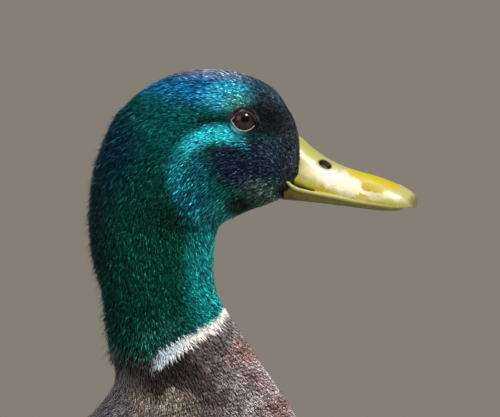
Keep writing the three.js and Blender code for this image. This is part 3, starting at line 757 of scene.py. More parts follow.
# Colour patches of the breast, as on the head but with no stray tufts.
BREAST_PATCHES = {
    "rust at the neck": (0, -97, 5, 3.5, -20, 0.5, "#dda996", 0.85),
    "rust in front": (14, -119, 6, 6, -50, 0.7, "#a8705f", 0.75),
    "rust between": (5, -108, 6, 3, -40, 0.7, "#a5766a", 0.6),
    "brown side": (-35, -110, 9, 4.5, 10, 0.6, "#6a463c", 0.9),
    "brown middle": (-14, -116, 10, 5, 0, 0.7, "#74564a", 0.6),
    "beige lace": (-30, -118, 11, 7, 0, 0.7, "#b3a595", 0.85),
    "black blot": (-22, -109.5, 7, 4, -15, 0.6, "#282426", 0.8),
    "hind neck foot": (-51, -114, 9, 10, 0, 0.7, "#7a7a7e", 0.8),
    "dark foot of the hind neck": (-50, -101, 14, 5.5, 10, 0.6, "#262221", 0.85),
    "shadow of the ring": (-28, -106, 11, 3.4, 25, 0.6, "#140f0d", 0.95),
}


def beyond(tree, place, plane, loose):
    """Millimetres beyond a plane that stands across the body, on its tail side, and strayed by loose."""
    x, z, tilt = plane
    from_plane = add(tree, "VectorMath", place, (x, 0, z), operation="SUBTRACT")
    angle = math.radians(tilt)
    down = (math.sin(angle), 0, -math.cos(angle))
    facing = down if tilt < 0 else [-part for part in down]
    depth = add(tree, "VectorMath", from_plane, facing, operation="DOT_PRODUCT")
    return add(tree, "Math", depth, loose, operation="ADD")


def breast_colour(tree, place, here, x, z):
    """The brown breast: rusty in front and painted paler there as if sunlit, crossed by broken dark rows
    and mottled.
    """
    # Painted highlight: the breast paler towards its front.
    front = (add(tree, "MapRange", x, *BREAST_SUNLIT_FRONT_X, **SOFT_EDGE), BREAST_SUNLIT_FRONT)
    low = (add(tree, "MapRange", z, *BREAST_LOW_Z, **SOFT_EDGE), BREAST_LOW)
    breast = painted(tree, BREAST, front, low)
    mantle = painted(tree, MANTLE, (add(tree, "MapRange", z, *SHOULDER_Z, **SOFT_EDGE), SHOULDER))
    ground = painted(tree, breast, (add(tree, "MapRange", x, *MANTLE_X, **SOFT_EDGE), mantle))
    ground = patched(tree, ragged(tree, place, 0.11, 3.0, 22), ground, BREAST_PATCHES)
    here = add(tree, "VectorMath", here, 1 / MM, operation="SCALE")
    here = add(tree, "Mapping", {"Vector": here, "Rotation": (0, math.radians(14), 0)})
    rows = {"Scale": WAVE_AT_ONE / ROW_MM, "Distortion": 9.0, "Detail": 3.0, "Detail Scale": 0.45}
    rows = add(tree, "TexWave", {"Vector": here, **rows}, bands_direction="Z")
    broken = add(tree, "TexNoise", {"Vector": here, "Scale": 1 / ROW_BREAK_MM, "Detail": 2.0})
    row_at = overlap(
        tree,
        add(tree, "MapRange", rows.outputs["Fac"], *WAVE_EDGE, **SOFT_EDGE),
        add(tree, "MapRange", x, *ROWS_X, **SOFT_EDGE),
        add(tree, "MapRange", broken.outputs["Fac"], 0.38, 0.6, 0.0, 0.72, **SOFT_EDGE),
    )
    ground = painted(tree, ground, (row_at, ROW_DARK))
    mottle = {"Vector": here, "Scale": 1 / MOTTLE_MM, "Detail": 4.0, "Roughness": 0.65}
    mottle = add(tree, "TexNoise", mottle).outputs["Fac"]
    reach = {"From Min": 0.34, "From Max": 0.66, "To Min": 0.5, "To Max": 1.5}
    mottle = add(tree, "MapRange", {"Value": mottle, **reach})
    mottled = add(tree, "VectorMath", ground, mottle, operation="SCALE")
    return painted(tree, ground, (add(tree, "MapRange", x, *MOTTLE_X, **SOFT_EDGE), mottled))


def markings():
    """The drake's plumage colours by place on the body, shared by the skin and the coat. Place is where
    a feather shows, in metres in the frame, Here is the point itself, and Chance is a random number for
    each feather. Gleam says how metallic the feather is, and Waves how strongly fine dark waves cross
    it."""
    tree = bpy.data.node_groups.new("drake_markings", "ShaderNodeTree")
    for name, kind in (("Place", "Vector"), ("Here", "Vector"), ("Chance", "Float")):
        tree.interface.new_socket(name, in_out="INPUT", socket_type="NodeSocket" + kind)
    for name, kind in (("Color", "Color"), ("Gleam", "Float"), ("Waves", "Float")):
        tree.interface.new_socket(name, in_out="OUTPUT", socket_type="NodeSocket" + kind)
    given = tree.nodes.new("NodeGroupInput")
    chance = given.outputs["Chance"]
    place = from_eyes(tree, given.outputs["Place"])
    axes = add(tree, "SeparateXYZ", place)
    x, z = axes.outputs["X"], axes.outputs["Z"]
    loose = add(tree, "Math", chance, 3.0, -1.5, operation="MULTIPLY_ADD")
    line = None
    for slope, height in RING_SLOPES:
        part = add(tree, "Math", x, slope, height, operation="MULTIPLY_ADD")
        line = add(tree, "Math", line, part, operation="MAXIMUM") if line else part
    line = add(tree, "Math", line, RING_TOP, operation="MINIMUM")
    over = add(tree, "Math", z, line, operation="SUBTRACT")
    mingled = add(tree, "MapRange", x, *RING_RAGGED_X, 1.0, 2.8, **SOFT_EDGE)
    over = add(tree, "Math", loose, mingled, over, operation="MULTIPLY_ADD")
    grey = painted(tree, SHOULDER, (add(tree, "MapRange", z, *FLANK_Z, **SOFT_EDGE), FLANK))
    grey_at = add(tree, "MapRange", beyond(tree, place, GREY_FROM, loose), -4.0, 5.0, **SOFT_EDGE)
    in_rump = beyond(tree, place, BLACK_FROM, loose)
    # Painted shadow: a near black band just under the white ring.
    ring_shadow_at = overlap(
        tree,
        add(tree, "MapRange", over, *RING_SHADOW_OVER, **SOFT_EDGE),
        add(tree, "MapRange", x, *RING_SHADOW_FRONT_X, **SOFT_EDGE),
        add(tree, "MapRange", x, *RING_SHADOW_REAR_X, **SOFT_EDGE),
    )
    # The white ring: lit cream in front, painted shade of blue-grey towards the rear.
    white = painted(tree, RING_LIT_CREAM, (add(tree, "MapRange", x, *RING_SIDE_X, **SOFT_EDGE), RING_PAINTED_SHADE))
    half = add(tree, "MapRange", x, *RING_SIDE_X, *RING_HALF[:2], **SOFT_EDGE)
    climb = add(tree, "MapRange", x, *RING_CLIMB_X, 0.0, RING_HALF[2] - RING_HALF[0], **SOFT_EDGE)
    half = add(tree, "Math", half, climb, operation="ADD")
    lower_edge = add(tree, "Math", over, half, operation="ADD")
    upper_edge = add(tree, "Math", over, half, operation="SUBTRACT")
    ring_at = overlap(
        tree,
        add(tree, "MapRange", lower_edge, -0.6, 0.6, **SOFT_EDGE),
        add(tree, "MapRange", x, *RING_END_X, **SOFT_EDGE),
    )
    colour = painted(
        tree,
        breast_colour(tree, place, given.outputs["Here"], x, z),
        (grey_at, grey),
        (add(tree, "MapRange", in_rump, -3.0, 3.0, **SOFT_EDGE), RUMP),
        (ring_shadow_at, RING_SHADOW_TONE),
        (ring_at, white),
        (add(tree, "MapRange", upper_edge, -0.5, 0.5, **SOFT_EDGE), head_colour(tree, place, chance)),
    )
    gleam = add(tree, "MapRange", upper_edge, -0.5, 0.5, 0.0, 0.7, **SOFT_EDGE)
    waves = overlap(
        tree,
        add(tree, "MapRange", in_rump, 3.0, -3.0, **SOFT_EDGE),
        add(tree, "MapRange", over, -5.0, -12.0, **SOFT_EDGE),
    )
    feed(tree, tree.nodes.new("NodeGroupOutput"), {"Color": colour, "Gleam": gleam, "Waves": waves})
    return tree


MARKINGS = markings()
WAVE_MM = 1.1  # from one fine dark wave to the next across a body feather
BARB_MM = 0.5  # from one barb to the next, coarser than a real one so that it shows
WAVE_DARK, BODY_RIM, VANE_RIM, SHAFT = "#2a2522", "#c9c0b4", "#cfc7ba", "#1c1713"


def feather_axes(tree):
    """A feather's own coordinates: the shares of its length and half width, the same in millimetres,
    and its random number."""
    vane, span = [
        add(tree, "SeparateXYZ", add(tree, "Attribute", attribute_name=name).outputs["Vector"])
        for name in ("vane", "span")
    ]
    x, y = vane.outputs["X"], vane.outputs["Y"]
    side = add(tree, "Math", add(tree, "Math", y, operation="ABSOLUTE"), 2.0, operation="MULTIPLY")
    along = add(tree, "Math", x, span.outputs["X"], operation="MULTIPLY")
    across = add(tree, "Math", y, span.outputs["Y"], operation="MULTIPLY")
    return x, side, along, across, vane.outputs["Z"]


def waves_over(tree, along, across, chance, strength):
    """Fine wavy cross bars, as a mask."""
    shift = add(tree, "Math", chance, 40.0, operation="MULTIPLY")
    spot = add(tree, "CombineXYZ", along, across, shift)
    bars = {"Scale": WAVE_AT_ONE / WAVE_MM, "Distortion": 4.5, "Detail": 2.0, "Detail Scale": 0.5}
    bars = add(tree, "TexWave", {"Vector": spot, **bars}, bands_direction="X")
    return add(tree, "MapRange", bars.outputs["Fac"], *WAVE_EDGE, 0.0, strength, **SOFT_EDGE)


def barb_bump(tree, along, across, strength):
    """Barbs that slant out from the shaft, as bump."""
    off = add(tree, "Math", across, operation="ABSOLUTE")
    slant = add(tree, "Math", along, off, operation="SUBTRACT")
    turns = add(tree, "Math", slant, 2 * math.pi / BARB_MM, operation="MULTIPLY")
    ridge = add(tree, "Math", turns, operation="SINE")
    return add(tree, "Bump", {"Strength": strength, "Distance": 0.0001, "Height": ridge})


def plumage():
    """Keratin barbs over melanin, laid by preening: dull on the body, with a metal-like gloss on the
    head, where thin films in the barbules reflect green to blue."""
    made, tree, shader = finish("contour_feather_keratin", {"Specular IOR Level": 0.2})
    root = add(tree, "Attribute", attribute_name="root").outputs["Vector"]
    here = add(tree, "TexCoord").outputs["Object"]
    x, side, along, across, chance = feather_axes(tree)
    marks = add(tree, "Group", {"Place": root, "Here": here, "Chance": chance}, node_tree=MARKINGS)
    gleam, waves = marks.outputs["Gleam"], marks.outputs["Waves"]
    dark = overlap(tree, waves_over(tree, along, across, chance, 0.62), waves)
    rim = add(tree, "MapRange", side, 0.55, 1.0, **SOFT_EDGE)
    end = add(tree, "MapRange", x, 0.8, 1.0, **SOFT_EDGE)
    rim = add(tree, "Math", rim, end, operation="MAXIMUM")
    rim = overlap(tree, rim, waves, 0.3)
    colour = painted(tree, marks.outputs["Color"], (dark, WAVE_DARK), (rim, BODY_RIM))
    other_chance = add(tree, "Math", chance, 57.3, operation="MULTIPLY")
    other_chance = add(tree, "Math", other_chance, operation="FRACT")
    contrast = add(tree, "Math", gleam, 2.4, 0.35, operation="MULTIPLY_ADD")
    contrast = add(tree, "Math", waves, 0.4, contrast, operation="MULTIPLY_ADD")
    tone = add(tree, "Math", other_chance, 0.46, operation="SUBTRACT")
    tone = add(tree, "Math", tone, contrast, 1.0, operation="MULTIPLY_ADD")
    tone = add(tree, "Math", tone, 0.12, operation="MAXIMUM")
    colour = add(tree, "VectorMath", colour, tone, operation="SCALE")
    dull = add(tree, "Math", gleam, -0.3, 0.55, operation="MULTIPLY_ADD")
    barbs_at = barb_bump(tree, along, across, 0.3)
    feed(tree, shader, {"Base Color": colour, "Metallic": gleam, "Roughness": dull, "Normal": barbs_at})
    return made


def bare_skin():
    """Skin seen between feathers: soft down of the same colours, dull."""
    made, tree, shader = finish("skin_under_down", {"Roughness": 0.9, "Specular IOR Level": 0.1})
    here = add(tree, "TexCoord").outputs["Object"]
    marks = add(tree, "Group", {"Place": here, "Here": here, "Chance": 0.4}, node_tree=MARKINGS)
    feed(tree, shader, {"Base Color": marks.outputs["Color"]})
    return made


def vane_finish(name, colours, waves=0.0, rim=0.0, gleam=0.0):
    """A flight or covert feather: colours at shares of its length, a dark shaft, fine waves where it
    has them and a pale rim."""
    made, tree, shader = finish(name, {"Roughness": 0.5, "Metallic": gleam})
    x, side, along, across, chance = feather_axes(tree)
    ramp = add(tree, "ValToRGB", x)
    set_stops(ramp, [(share, linear(tone)) for share, tone in colours])
    coats = []
    if waves:
        coats.append((waves_over(tree, along, across, chance, waves), WAVE_DARK))
    if rim:
        coats.append((add(tree, "MapRange", side, 0.6, 1.0, 0.0, rim, **SOFT_EDGE), VANE_RIM))
    off = add(tree, "Math", across, operation="ABSOLUTE")
    coats.append((add(tree, "MapRange", off, 0.45, 0.2, 0.0, 0.5, **SOFT_EDGE), SHAFT))
    colour = painted(tree, ramp, *coats)
    tone = add(tree, "Math", chance, 0.35, 0.82, operation="MULTIPLY_ADD")
    colour = add(tree, "VectorMath", colour, tone, operation="SCALE")
    feed(tree, shader, {"Base Color": colour, "Normal": barb_bump(tree, along, across, 0.5)})
    return made


PLUMAGE = plumage()
SKIN = bare_skin()
SCAPULAR_VANE = vane_finish(
    "scapular_vane_keratin", ((0.2, "#8d867c"), (0.75, "#898177"), (1.0, "#857b70")), waves=0.45, rim=0.2
)
TERTIAL_VANE = vane_finish(
    "tertial_vane_keratin", ((0.2, "#8b8278"), (0.6, "#6e6258"), (1.0, "#5a4e46")), rim=0.4
)
COVERT_VANE = vane_finish("wing_covert_keratin", ((0.2, "#6b6158"), (1.0, "#75695e")), rim=0.35)
# Grey, then the white bar in front of the speculum, then its black edge.
GREATER_VANE = vane_finish(
    "greater_covert_keratin",
    (
        (0.3, "#6b6158"),
        (0.72, "#6f665d"),
        (0.76, "#f2efe6"),
        (0.86, "#f2efe6"),
        (0.88, "#0b0b0c"),
        (1.0, "#0b0b0c"),
    ),
)
# Violet blue, then the black and the white bar behind it.
SPECULUM_VANE = vane_finish(
    "speculum_barbules",
    (
        (0.15, "#15256b"),
        (0.4, "#3a2f86"),
        (0.8, "#1d4aa0"),
        (0.83, "#08090c"),
        (0.9, "#08090c"),
        (0.92, "#f4f1ea"),
    ),
    gleam=0.55,
)
PRIMARY_VANE = vane_finish("primary_vane_keratin", ((0.1, "#4a423b"), (1.0, "#37302b")), rim=0.3)
TAIL_VANE = vane_finish(
    "tail_vane_keratin", ((0.1, "#7f766d"), (0.8, "#9a9085"), (1.0, "#cfc8bc")), rim=0.75
)
BLACK_VANE = vane_finish("curled_covert_keratin", ((0.0, "#0a0c0d"), (1.0, "#0c1113")), gleam=0.2)

# Colour patches of the bill, in the same way. The pale patch along its side and the pale patch near the
# tip are painted highlights: reflections of a bright sky on the wet horn.
UPPER_PATCHES = {
    # Painted reflection of the sky along the bill's side.
    "painted sky reflection on the side": (41, -25.6, 15, 3.8, -20, 0.5, "#cdc1aa", 0.9),
    "gold at the gape": (28, -27.4, 11, 1.5, -17, 0.4, "#8e800b", 0.95),
    "olive spot": (49.5, -31.6, 2.6, 1, -8, 0.3, "#9a8b1a", 0.9),
    "tip": (66, -31, 8, 4, -30, 0.6, "#95925c", 0.7),
    # Painted highlight: wet glints near the tip.
    "painted wet glints by the tip": (61, -31, 6, 1.3, -20, 0.6, "#d3cfb5", 0.45),
    "golden ridge": (54.5, -24.6, 11, 2.7, -20, 0.18, "#9b8b00", 1),
    "golden tongue": (53.5, -27.8, 5, 1.9, -18, 0.18, "#927f00", 1),
    "olive edge": (55, -34.9, 17, 1.5, -8, 0.6, "#7b7224", 0.8),
    "nail": (72.5, -34, 3.2, 3.4, 20, 0.5, "#5c5330", 0.9),
}
LOWER_PATCHES = {
    "edge": (46, -34, 30, 1.6, -8, 0.5, "#6d6527", 0.9),
}
NOSTRIL = {"at": (34.2, -18.2), "reach": (2.7, 1.55), "turn": -24, "depth": 2.2}


def horn_bill(name, base, patches, gloss):
    """Rhamphotheca: smooth keratin over bone, wetted and polished by feeding. Yellow-green, golden
    towards the tip, olive along the cutting edge."""
    horn = {"IOR": 1.54, "Subsurface Weight": 0.1, "Subsurface Radius": (0.001, 0.0007, 0.0003)}
    made, tree, shader = finish(name, {**horn, **gloss})
    place = from_eyes(tree, add(tree, "TexCoord").outputs["Object"])
    colour = patched(tree, ragged(tree, place, 0.3, 4.0, 4.5), base, patches)
    streak = add(tree, "TexNoise", {"Vector": place, "Scale": 0.8, "Detail": 4.0})
    fleck = add(tree, "MapRange", streak.outputs["Fac"], 0.58, 0.75, 0.0, 0.35, **SOFT_EDGE)
    reach_x, reach_z = NOSTRIL["reach"]
    hole = (*NOSTRIL["at"], reach_x * 1.12, reach_z * 1.15, NOSTRIL["turn"], 0.25)
    colour = painted(tree, colour, (fleck, "#a29a3c"), (patch_mask(tree, place, hole), "#120c0d"))
    ripple = add(tree, "TexNoise", {"Vector": place, "Scale": 0.6, "Detail": 5.0})
    bump = add(tree, "Bump", {"Strength": 0.25, "Distance": 0.0003, "Height": ripple.outputs["Fac"]})
    feed(tree, shader, {"Base Color": colour, "Normal": bump})
    return made


def simple_finish(name, tone, spots, tone_of_spots, scale, gloss):
    """A finish mottled by one noise, whose scale is in marks for each millimetre."""
    made, tree, shader = finish(name, gloss)
    here = add(tree, "TexCoord").outputs["Object"]
    place = add(tree, "VectorMath", here, 1 / MM, operation="SCALE")
    noise = add(tree, "TexNoise", {"Vector": place, "Scale": scale, "Detail": 4.0})
    mask = add(tree, "MapRange", noise.outputs["Fac"], 0.42, 0.66, 0.0, spots, **SOFT_EDGE)
    bump = add(tree, "Bump", {"Strength": 0.3, "Distance": 0.0002, "Height": noise.outputs["Fac"]})
    feed(tree, shader, {"Base Color": painted(tree, tone, (mask, tone_of_spots)), "Normal": bump})
    return made


def leg_finish():
    """Podotheca: orange horny skin in small plates, waxy and a little shiny."""
    soft = {"Subsurface Weight": 0.2, "Subsurface Radius": (0.002, 0.0008, 0.0003)}
    made, tree, shader = finish("leg_scale_skin", {"Roughness": 0.45, **soft})
    here = add(tree, "TexCoord").outputs["Object"]
    place = add(tree, "VectorMath", here, 1 / MM, operation="SCALE")
    plates = {"Vector": place, "Scale": 0.95}
    seam = add(tree, "TexVoronoi", plates, feature="DISTANCE_TO_EDGE").outputs["Distance"]
    tint = add(tree, "SeparateColor", add(tree, "TexVoronoi", plates).outputs["Color"])
    tint = add(tree, "Math", tint, 0.35, operation="MULTIPLY")
    in_seam = add(tree, "MapRange", seam, 0.16, 0.02, 0.0, 0.3, **SOFT_EDGE)
    colour = painted(tree, "#d96a1c", (tint, "#e98d3c"), (in_seam, "#a04a1a"))
    lift = add(tree, "MapRange", seam, 0.0, 0.25, **SOFT_EDGE)
    bump = add(tree, "Bump", {"Strength": 0.6, "Distance": 0.0003, "Height": lift})
    feed(tree, shader, {"Base Color": colour, "Normal": bump})
    return made


def eye_finish():
    """A wet eye: brown iris flecked outwards from a black pupil, under a clear polished cornea."""
    wet = {"Roughness": 0.06, "Specular IOR Level": 0.3, "IOR": 1.376}
    made, tree, shader = finish("wet_cornea", wet)
    here = add(tree, "TexCoord").outputs["Object"]
    side_on = {"Vector": here, "Location": tuple(EYES), "Scale": (MM, EVER, MM)}
    seen = add(tree, "Mapping", side_on, vector_type="TEXTURE")
    away = add(tree, "VectorMath", seen, operation="LENGTH")
    fibres = add(tree, "TexNoise", {"Vector": seen, "Scale": 1.6, "Detail": 4.0})
    colour = painted(
        tree,
        "#110807",
        (fibres.outputs["Fac"], "#311b16"),
        (add(tree, "MapRange", away, 3.2, 4.6, **SOFT_EDGE), "#0d0706"),
        (patch_mask(tree, seen, (0.8, 0.3, 1.65, 1.65, 0, 0.06)), "#030303"),
    )
    feed(tree, shader, {"Base Color": colour})
    return made


UPPER_HORN = horn_bill(
    "upper_bill_keratin",
    "#8a8747",
    UPPER_PATCHES,
    {"Roughness": 0.4, "Coat Weight": 0.12, "Coat Roughness": 0.15, "Specular IOR Level": 0.35},
)
LOWER_HORN = horn_bill(
    "lower_bill_keratin", "#423a1a", LOWER_PATCHES, {"Roughness": 0.6, "Specular IOR Level": 0.08}
)
LID = simple_finish(
    "lid_skin", "#1c1618", 0.5, "#3a3236", 1.4, {"Roughness": 0.6, "Specular IOR Level": 0.25}
)
LID_RIM = simple_finish("lid_rim_skin", "#b9a99a", 0.4, "#6d5f55", 1.0, {"Roughness": 0.4})
LEG = leg_finish()
CLAW = simple_finish("claw_horn", "#2e2722", 0.5, "#5a4c3f", 0.8, {"Roughness": 0.35})
EYE = eye_finish()

# ---------------------------------------------------------------- Skin


def body_skin():
    """One skin for head, neck, trunk, folded wings and thighs, inside them by the depth of the coat."""
    shells = [(body, 150, 96), (wings, 70, 96), (scapulars, 60, 96)]
    shells += [(thigh, 30, 32) for thigh in thighs.values()]
    whole = join(
        *[
            rolled(lambda t, a, form=form: form.point(t, a, -form.depth(t)), along, around)
            for form, along, around in shells
        ]
    )
    made = piece("skin", fused(whole, 1.6, 3), "head_feather", SKIN)
    nodes = ["head", "neck", "neck_ring", "breast", "trunk", "rump"]
    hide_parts(*nodes, *[f"thigh_{name}" for name in SIDES])
    return made


skin = body_skin()
SKIN_TREE = BVHTree.FromObject(skin, bpy.context.evaluated_depsgraph_get())


def on_skin(form, t, a, within=1.6):
    """Which roots of a form lie on the skin's outside, and not inside another part of the body."""
    places = form.point(t, a, -form.depth(t))
    return np.array([SKIN_TREE.find_nearest(co, within * MM)[0] is not None for co in places])


# ---------------------------------------------------------------- Coat of the head and neck

EYE_OPENING = (4.5, 3.95)  # half width and half height of the gap between the lids


def near_eye(p):
    """Distance from the middle of the nearer eye's opening, as a share of the opening."""
    at = (p - EYES) / MM
    return np.hypot(at[..., 0] / EYE_OPENING[0], at[..., 2] / EYE_OPENING[1])


def over_ring(p):
    """Height in millimetres above the ring's middle line."""
    at = (p - EYES) / MM
    line = np.max([at[..., 0] * slope + height for slope, height in RING_SLOPES], 0)
    return at[..., 2] - np.minimum(line, RING_TOP)


def head_coat():
    """Short filament tufts, smallest at the bill and round the eyes."""
    tuft = tuft_shape()
    # Each piece: where it starts and ends, and its tufts' spacing and length to the feathers' length.
    zones = {
        "coat_neck": ("neck foot", "throat", 0.09, 0.55),
        "coat_head": ("throat", "crown", 0.12, 0.85),
        "coat_face": ("crown", "lore edge", 0.12, 1),
    }
    for number, (name, (start, end, apart, long)) in enumerate(zones.items()):
        t, a, roots = rooted(
            body,
            spacing=lambda t: apart * body.feather(t) + 0.05,
            ends=body.between(start, end),
            seeds=(11 + number, 31 + number),
            sway=0.2,
            wanted=lambda p, t, a: (near_eye(p) > 1.2) & (over_ring(p) > -1.5),
        )
        shorter = np.clip((near_eye(roots.place) - 1.1) / 1.2, 0.3, 1)
        at = (roots.place - EYES) / MM
        crest = np.clip((at[:, 2] - 10) / 8, 0, 1)
        stippled = np.clip((at[:, 0] + 34) / 12, 0, 1) * np.clip((-6 - at[:, 2]) / 8, 0, 1)
        length = body.feather(t) * roots.vary(0.25) * shorter * (1 + 0.5 * crest - 0.25 * stippled)
        width = (0.22 + 0.055 * body.feather(t)) * roots.vary(0.25) * (1 - 0.2 * crest)
        nape = np.clip(np.cos(a), 0, 1) ** 2 * (t < body.at("back of crown"))
        length = length * (1 + 0.5 * nape) * long
        width = width * (1 + 0.35 * nape)
        stands_off = 1 + 0.75 * nape * (roots.chance > 0.88)
        high = body.depth(t) * roots.vary(0.45) * (0.55 + 0.6 * nape) * stands_off
        coat(name, "head_feather", laid(PLUMAGE, tuft, roots, length, width, low=0.0, high=high))


def collar_coat():
    """The white ring's ragged fringe, and the loose hair-like tips of the small feathers below it."""
    tuft = tuft_shape()
    zones = {
        "coat_collar": ("neck foot", "mid neck"),
        "coat_bib": ("breast front", "neck foot"),
        "coat_nape": ("mantle", "breast front"),
    }
    for number, (name, zone) in enumerate(zones.items()):
        thin = np.random.default_rng(15 + number)
        t, _, roots = rooted(
            body,
            spacing=0.68,
            ends=body.between(*zone),
            seeds=(21 + number, 41 + number),
            sway=0.2,
            wanted=lambda p, t, a: (over_ring(p) < 1.5)
            & (over_ring(p) > -50 - 25 * thin.random(len(p)))
            & on_skin(body, t, a),
        )
        length = (3.2 + 0.25 * body.feather(t)) * roots.vary(0.3)
        width = np.where(over_ring(roots.place) > -6, 0.57, 0.62) * roots.vary(0.3)
        high = body.depth(t) * roots.vary(0.4) * 0.7
        coat(name, "breast_feather", laid(PLUMAGE, tuft, roots, length, width, low=0.15, high=high))


# ---------------------------------------------------------------- Coat of the body


def barbs(vanes, per, seed):
    """Loose barbs that fray each feather of a laid batch: their roots on its face, slanted outwards,
    with the feather's own markings."""
    rng = np.random.default_rng(seed)
    size, count = len(vanes["corners"]), len(vanes["lie"])
    top = np.flatnonzero((vanes["corners"][:, 2] > 0) & (vanes["corners"][:, 0] > 0.2))
    top = top[vanes["corners"][top, 0] < 0.88]
    which = np.repeat(np.arange(count), per)
    corner = rng.choice(top, count * per)
    picked = which * size + corner
    lie, up = vanes["lie"][which], vanes["up"][which]
    slant = 0.8 * vanes["corners"][corner, 1] + rng.normal(0, 0.06, len(which))
    turned = lie + slant[:, None] * np.cross(up, lie)
    roots = Roots(vanes["co"][picked], turned, up, vanes["unwrap"][picked], seed + 1)
    roots.parent = np.column_stack([vanes["vane"][picked], vanes["span"][picked], np.arctan(slant)])
    return roots


def frayed(material, vanes, per, seed, length, width, high):
    """Barbs laid over a batch of feathers, so many for each. Sizes are in millimetres."""
    loose = barbs(vanes, per, seed)
    length = length * loose.vary(0.3)
    return laid(material, tuft_shape(), loose, length, width, low=0.0, high=high * loose.vary(0.6))


CONTOUR = (0.35, 0.75, 0.98, 1.0, 0.92, 0.72, 0.0)  # a body feather's width, root to tip
POINTED = (0.4, 0.8, 1.0, 1.0, 0.9, 0.62, 0.0)
BLUNT = (0.3, 0.7, 0.85, 0.95, 1.0, 0.98, 0.8, 0.0)


def body_coat():
    """Overlapping contour feathers, small at the neck and long on the flanks and rump."""
    feather = vane_shape(5, 2, CONTOUR)
    zones = {
        "coat_upper_breast": ("breast front", "collar", "breast_feather"),
        "coat_breast": ("shoulder", "breast front", "breast_feather"),
        "coat_trunk": ("loin", "shoulder", "grey_feather"),
        "coat_rump": ("tail covert tips", "loin", "black_feather"),
    }
    thin = np.random.default_rng(50)
    for number, (name, (start, end, slot)) in enumerate(zones.items()):
        t, _, roots = rooted(
            body,
            spacing=lambda t: 0.2 * body.feather(t) + 0.15,
            ends=body.between(start, end),
            seeds=(51 + number, 71 + number),
            sway=0.1,
            wanted=lambda p, t, a: (over_ring(p) < -45 - 25 * thin.random(len(p))) & on_skin(body, t, a),
        )
        grown = body.feather(t) * roots.vary(0.12)
        high = body.depth(t) * (0.1 + roots.vary(0.2)) * 0.7
        worn = laid(
            PLUMAGE, feather, roots, grown, width=0.6 * grown, low=0.2, high=high, drape=SKIN_TREE
        )
        coat(name, slot, worn)


def body_down():
    """Loose barbs over the body's feathers, which soften their edges."""
    tuft = tuft_shape()
    zones = {
        "down_breast": ("breast", "breast front", "breast_feather"),
        "down_shoulder": ("mantle", "breast", "breast_feather"),
        "down_trunk": ("loin", "mantle", "grey_feather"),
        "down_rump": ("tail covert tips", "loin", "black_feather"),
    }
    for number, (name, (start, end, slot)) in enumerate(zones.items()):
        t, _, roots = rooted(
            body,
            spacing=0.95,
            ends=body.between(start, end),
            seeds=(151 + number, 171 + number),
            sway=0.16,
            wanted=lambda p, t, a: (over_ring(p) < -45) & on_skin(body, t, a, 5),
        )
        length = (3.5 + 0.3 * body.feather(t)) * roots.vary(0.3)
        high = body.depth(t) * roots.vary(0.15) * 0.8
        width = 0.85 * roots.vary(0.25)
        down = laid(PLUMAGE, tuft, roots, length, width, low=0.4, high=high, drape=SKIN_TREE)
        coat(name, slot, down)


def lower_back_coat():
    """Black feathers of the lower back, between the folded wings, and barbs over the wing's front."""
    feather = vane_shape(6, 4, CONTOUR)
    batches = []
    # Each bare stretch: its form, where it starts and ends, and how far down from the back it reaches.
    zones = ((wings, (0.0, 0.5), 75), (scapulars, (0.0, 0.4), 180))
    for number, (form, zone, within) in enumerate(zones):

        def bare(p, t, a, form=form, within=within):
            down = np.degrees(np.minimum(a, 2 * math.pi - a))
            return (down < within) & on_skin(form, t, a, 4)

        _, _, roots = rooted(
            form, spacing=4.6, ends=zone, seeds=(280 + number, 284 + number), sway=0.1, wanted=bare
        )
        worn = laid(
            PLUMAGE,
            feather,
            roots,
            length=17 * roots.vary(0.15),
            width=9,
            low=0.2,
            high=1.6,
            drape=SKIN_TREE,
        )
        batches += [worn, frayed(
            PLUMAGE, worn, per=26, seed=288 + 2 * number, length=4, width=0.8, high=0.4
        )]
    coat("coat_lower_back", "black_feather", *batches)


FLANK_ROWS = (140, 130, 120, 111)  # degrees down from the back, from the belly up over the wing's edge


def flank_coat():
    """Long flank feathers, which lap up over the folded wing's lower edge."""
    vane = vane_shape(9, 4, CONTOUR)
    for number, (name, side) in enumerate(SIDES.items()):
        batches = []
        for row, degrees in enumerate(FLANK_ROWS):
            t = np.linspace(0.93 - 0.012 * row, 0.2 + 0.02 * row, 27)
            roots = rows_on(wings, t, np.full(27, degrees), side, 240 + 10 * number + row).sway(0.05)
            over = np.cross(roots.up, roots.lie) * side
            roots.lie = unit(roots.lie + 0.22 * over)
            roots.place = roots.place + 4 * MM * roots.lie * roots.vary(0.8)[:, None]
            length = (24 + 26 * (1 - t)) * roots.vary(0.12)
            high = np.minimum(2.6 + 0.25 * row, wings.depth(t) + 0.6) * roots.vary(0.1)
            batches.append(laid(
                PLUMAGE, vane, roots, length, width=14, low=0.6, high=high, drape=SKIN_TREE
            ))
        for row in range(len(FLANK_ROWS)):
            loose = barbs(batches[row], 64, 260 + 10 * number + row)
            high = 0.4 * loose.vary(0.6)
            length = 5.5 * loose.vary(0.3)
            batches.append(laid(PLUMAGE, tuft_shape(), loose, length, width=0.8, low=0.0, high=high))
        coat(f"flank_vanes_{name}", "grey_feather", *batches)


def thigh_coat():
    feather = vane_shape(5, 4, CONTOUR)
    for number, (name, thigh) in enumerate(thighs.items()):
        t, _, roots = rooted(
            thigh,
            spacing=lambda t: 0.26 * thigh.feather(t),
            ends=(0.12, 1.0),
            seeds=(91 + number, 95 + number),
            sway=0.12,
            wanted=lambda p, t, a: on_skin(thigh, t, a),
        )
        grown = thigh.feather(t) * roots.vary(0.15) * np.clip(0.5 + t, 0.5, 1)
        high = thigh.depth(t) * roots.vary(0.15)
        worn = laid(
            PLUMAGE, feather, roots, grown, width=0.6 * grown, low=0.3, high=high, drape=SKIN_TREE
        )
        coat(f"coat_thigh_{name}", "grey_feather", worn)


# ---------------------------------------------------------------- Folded wings


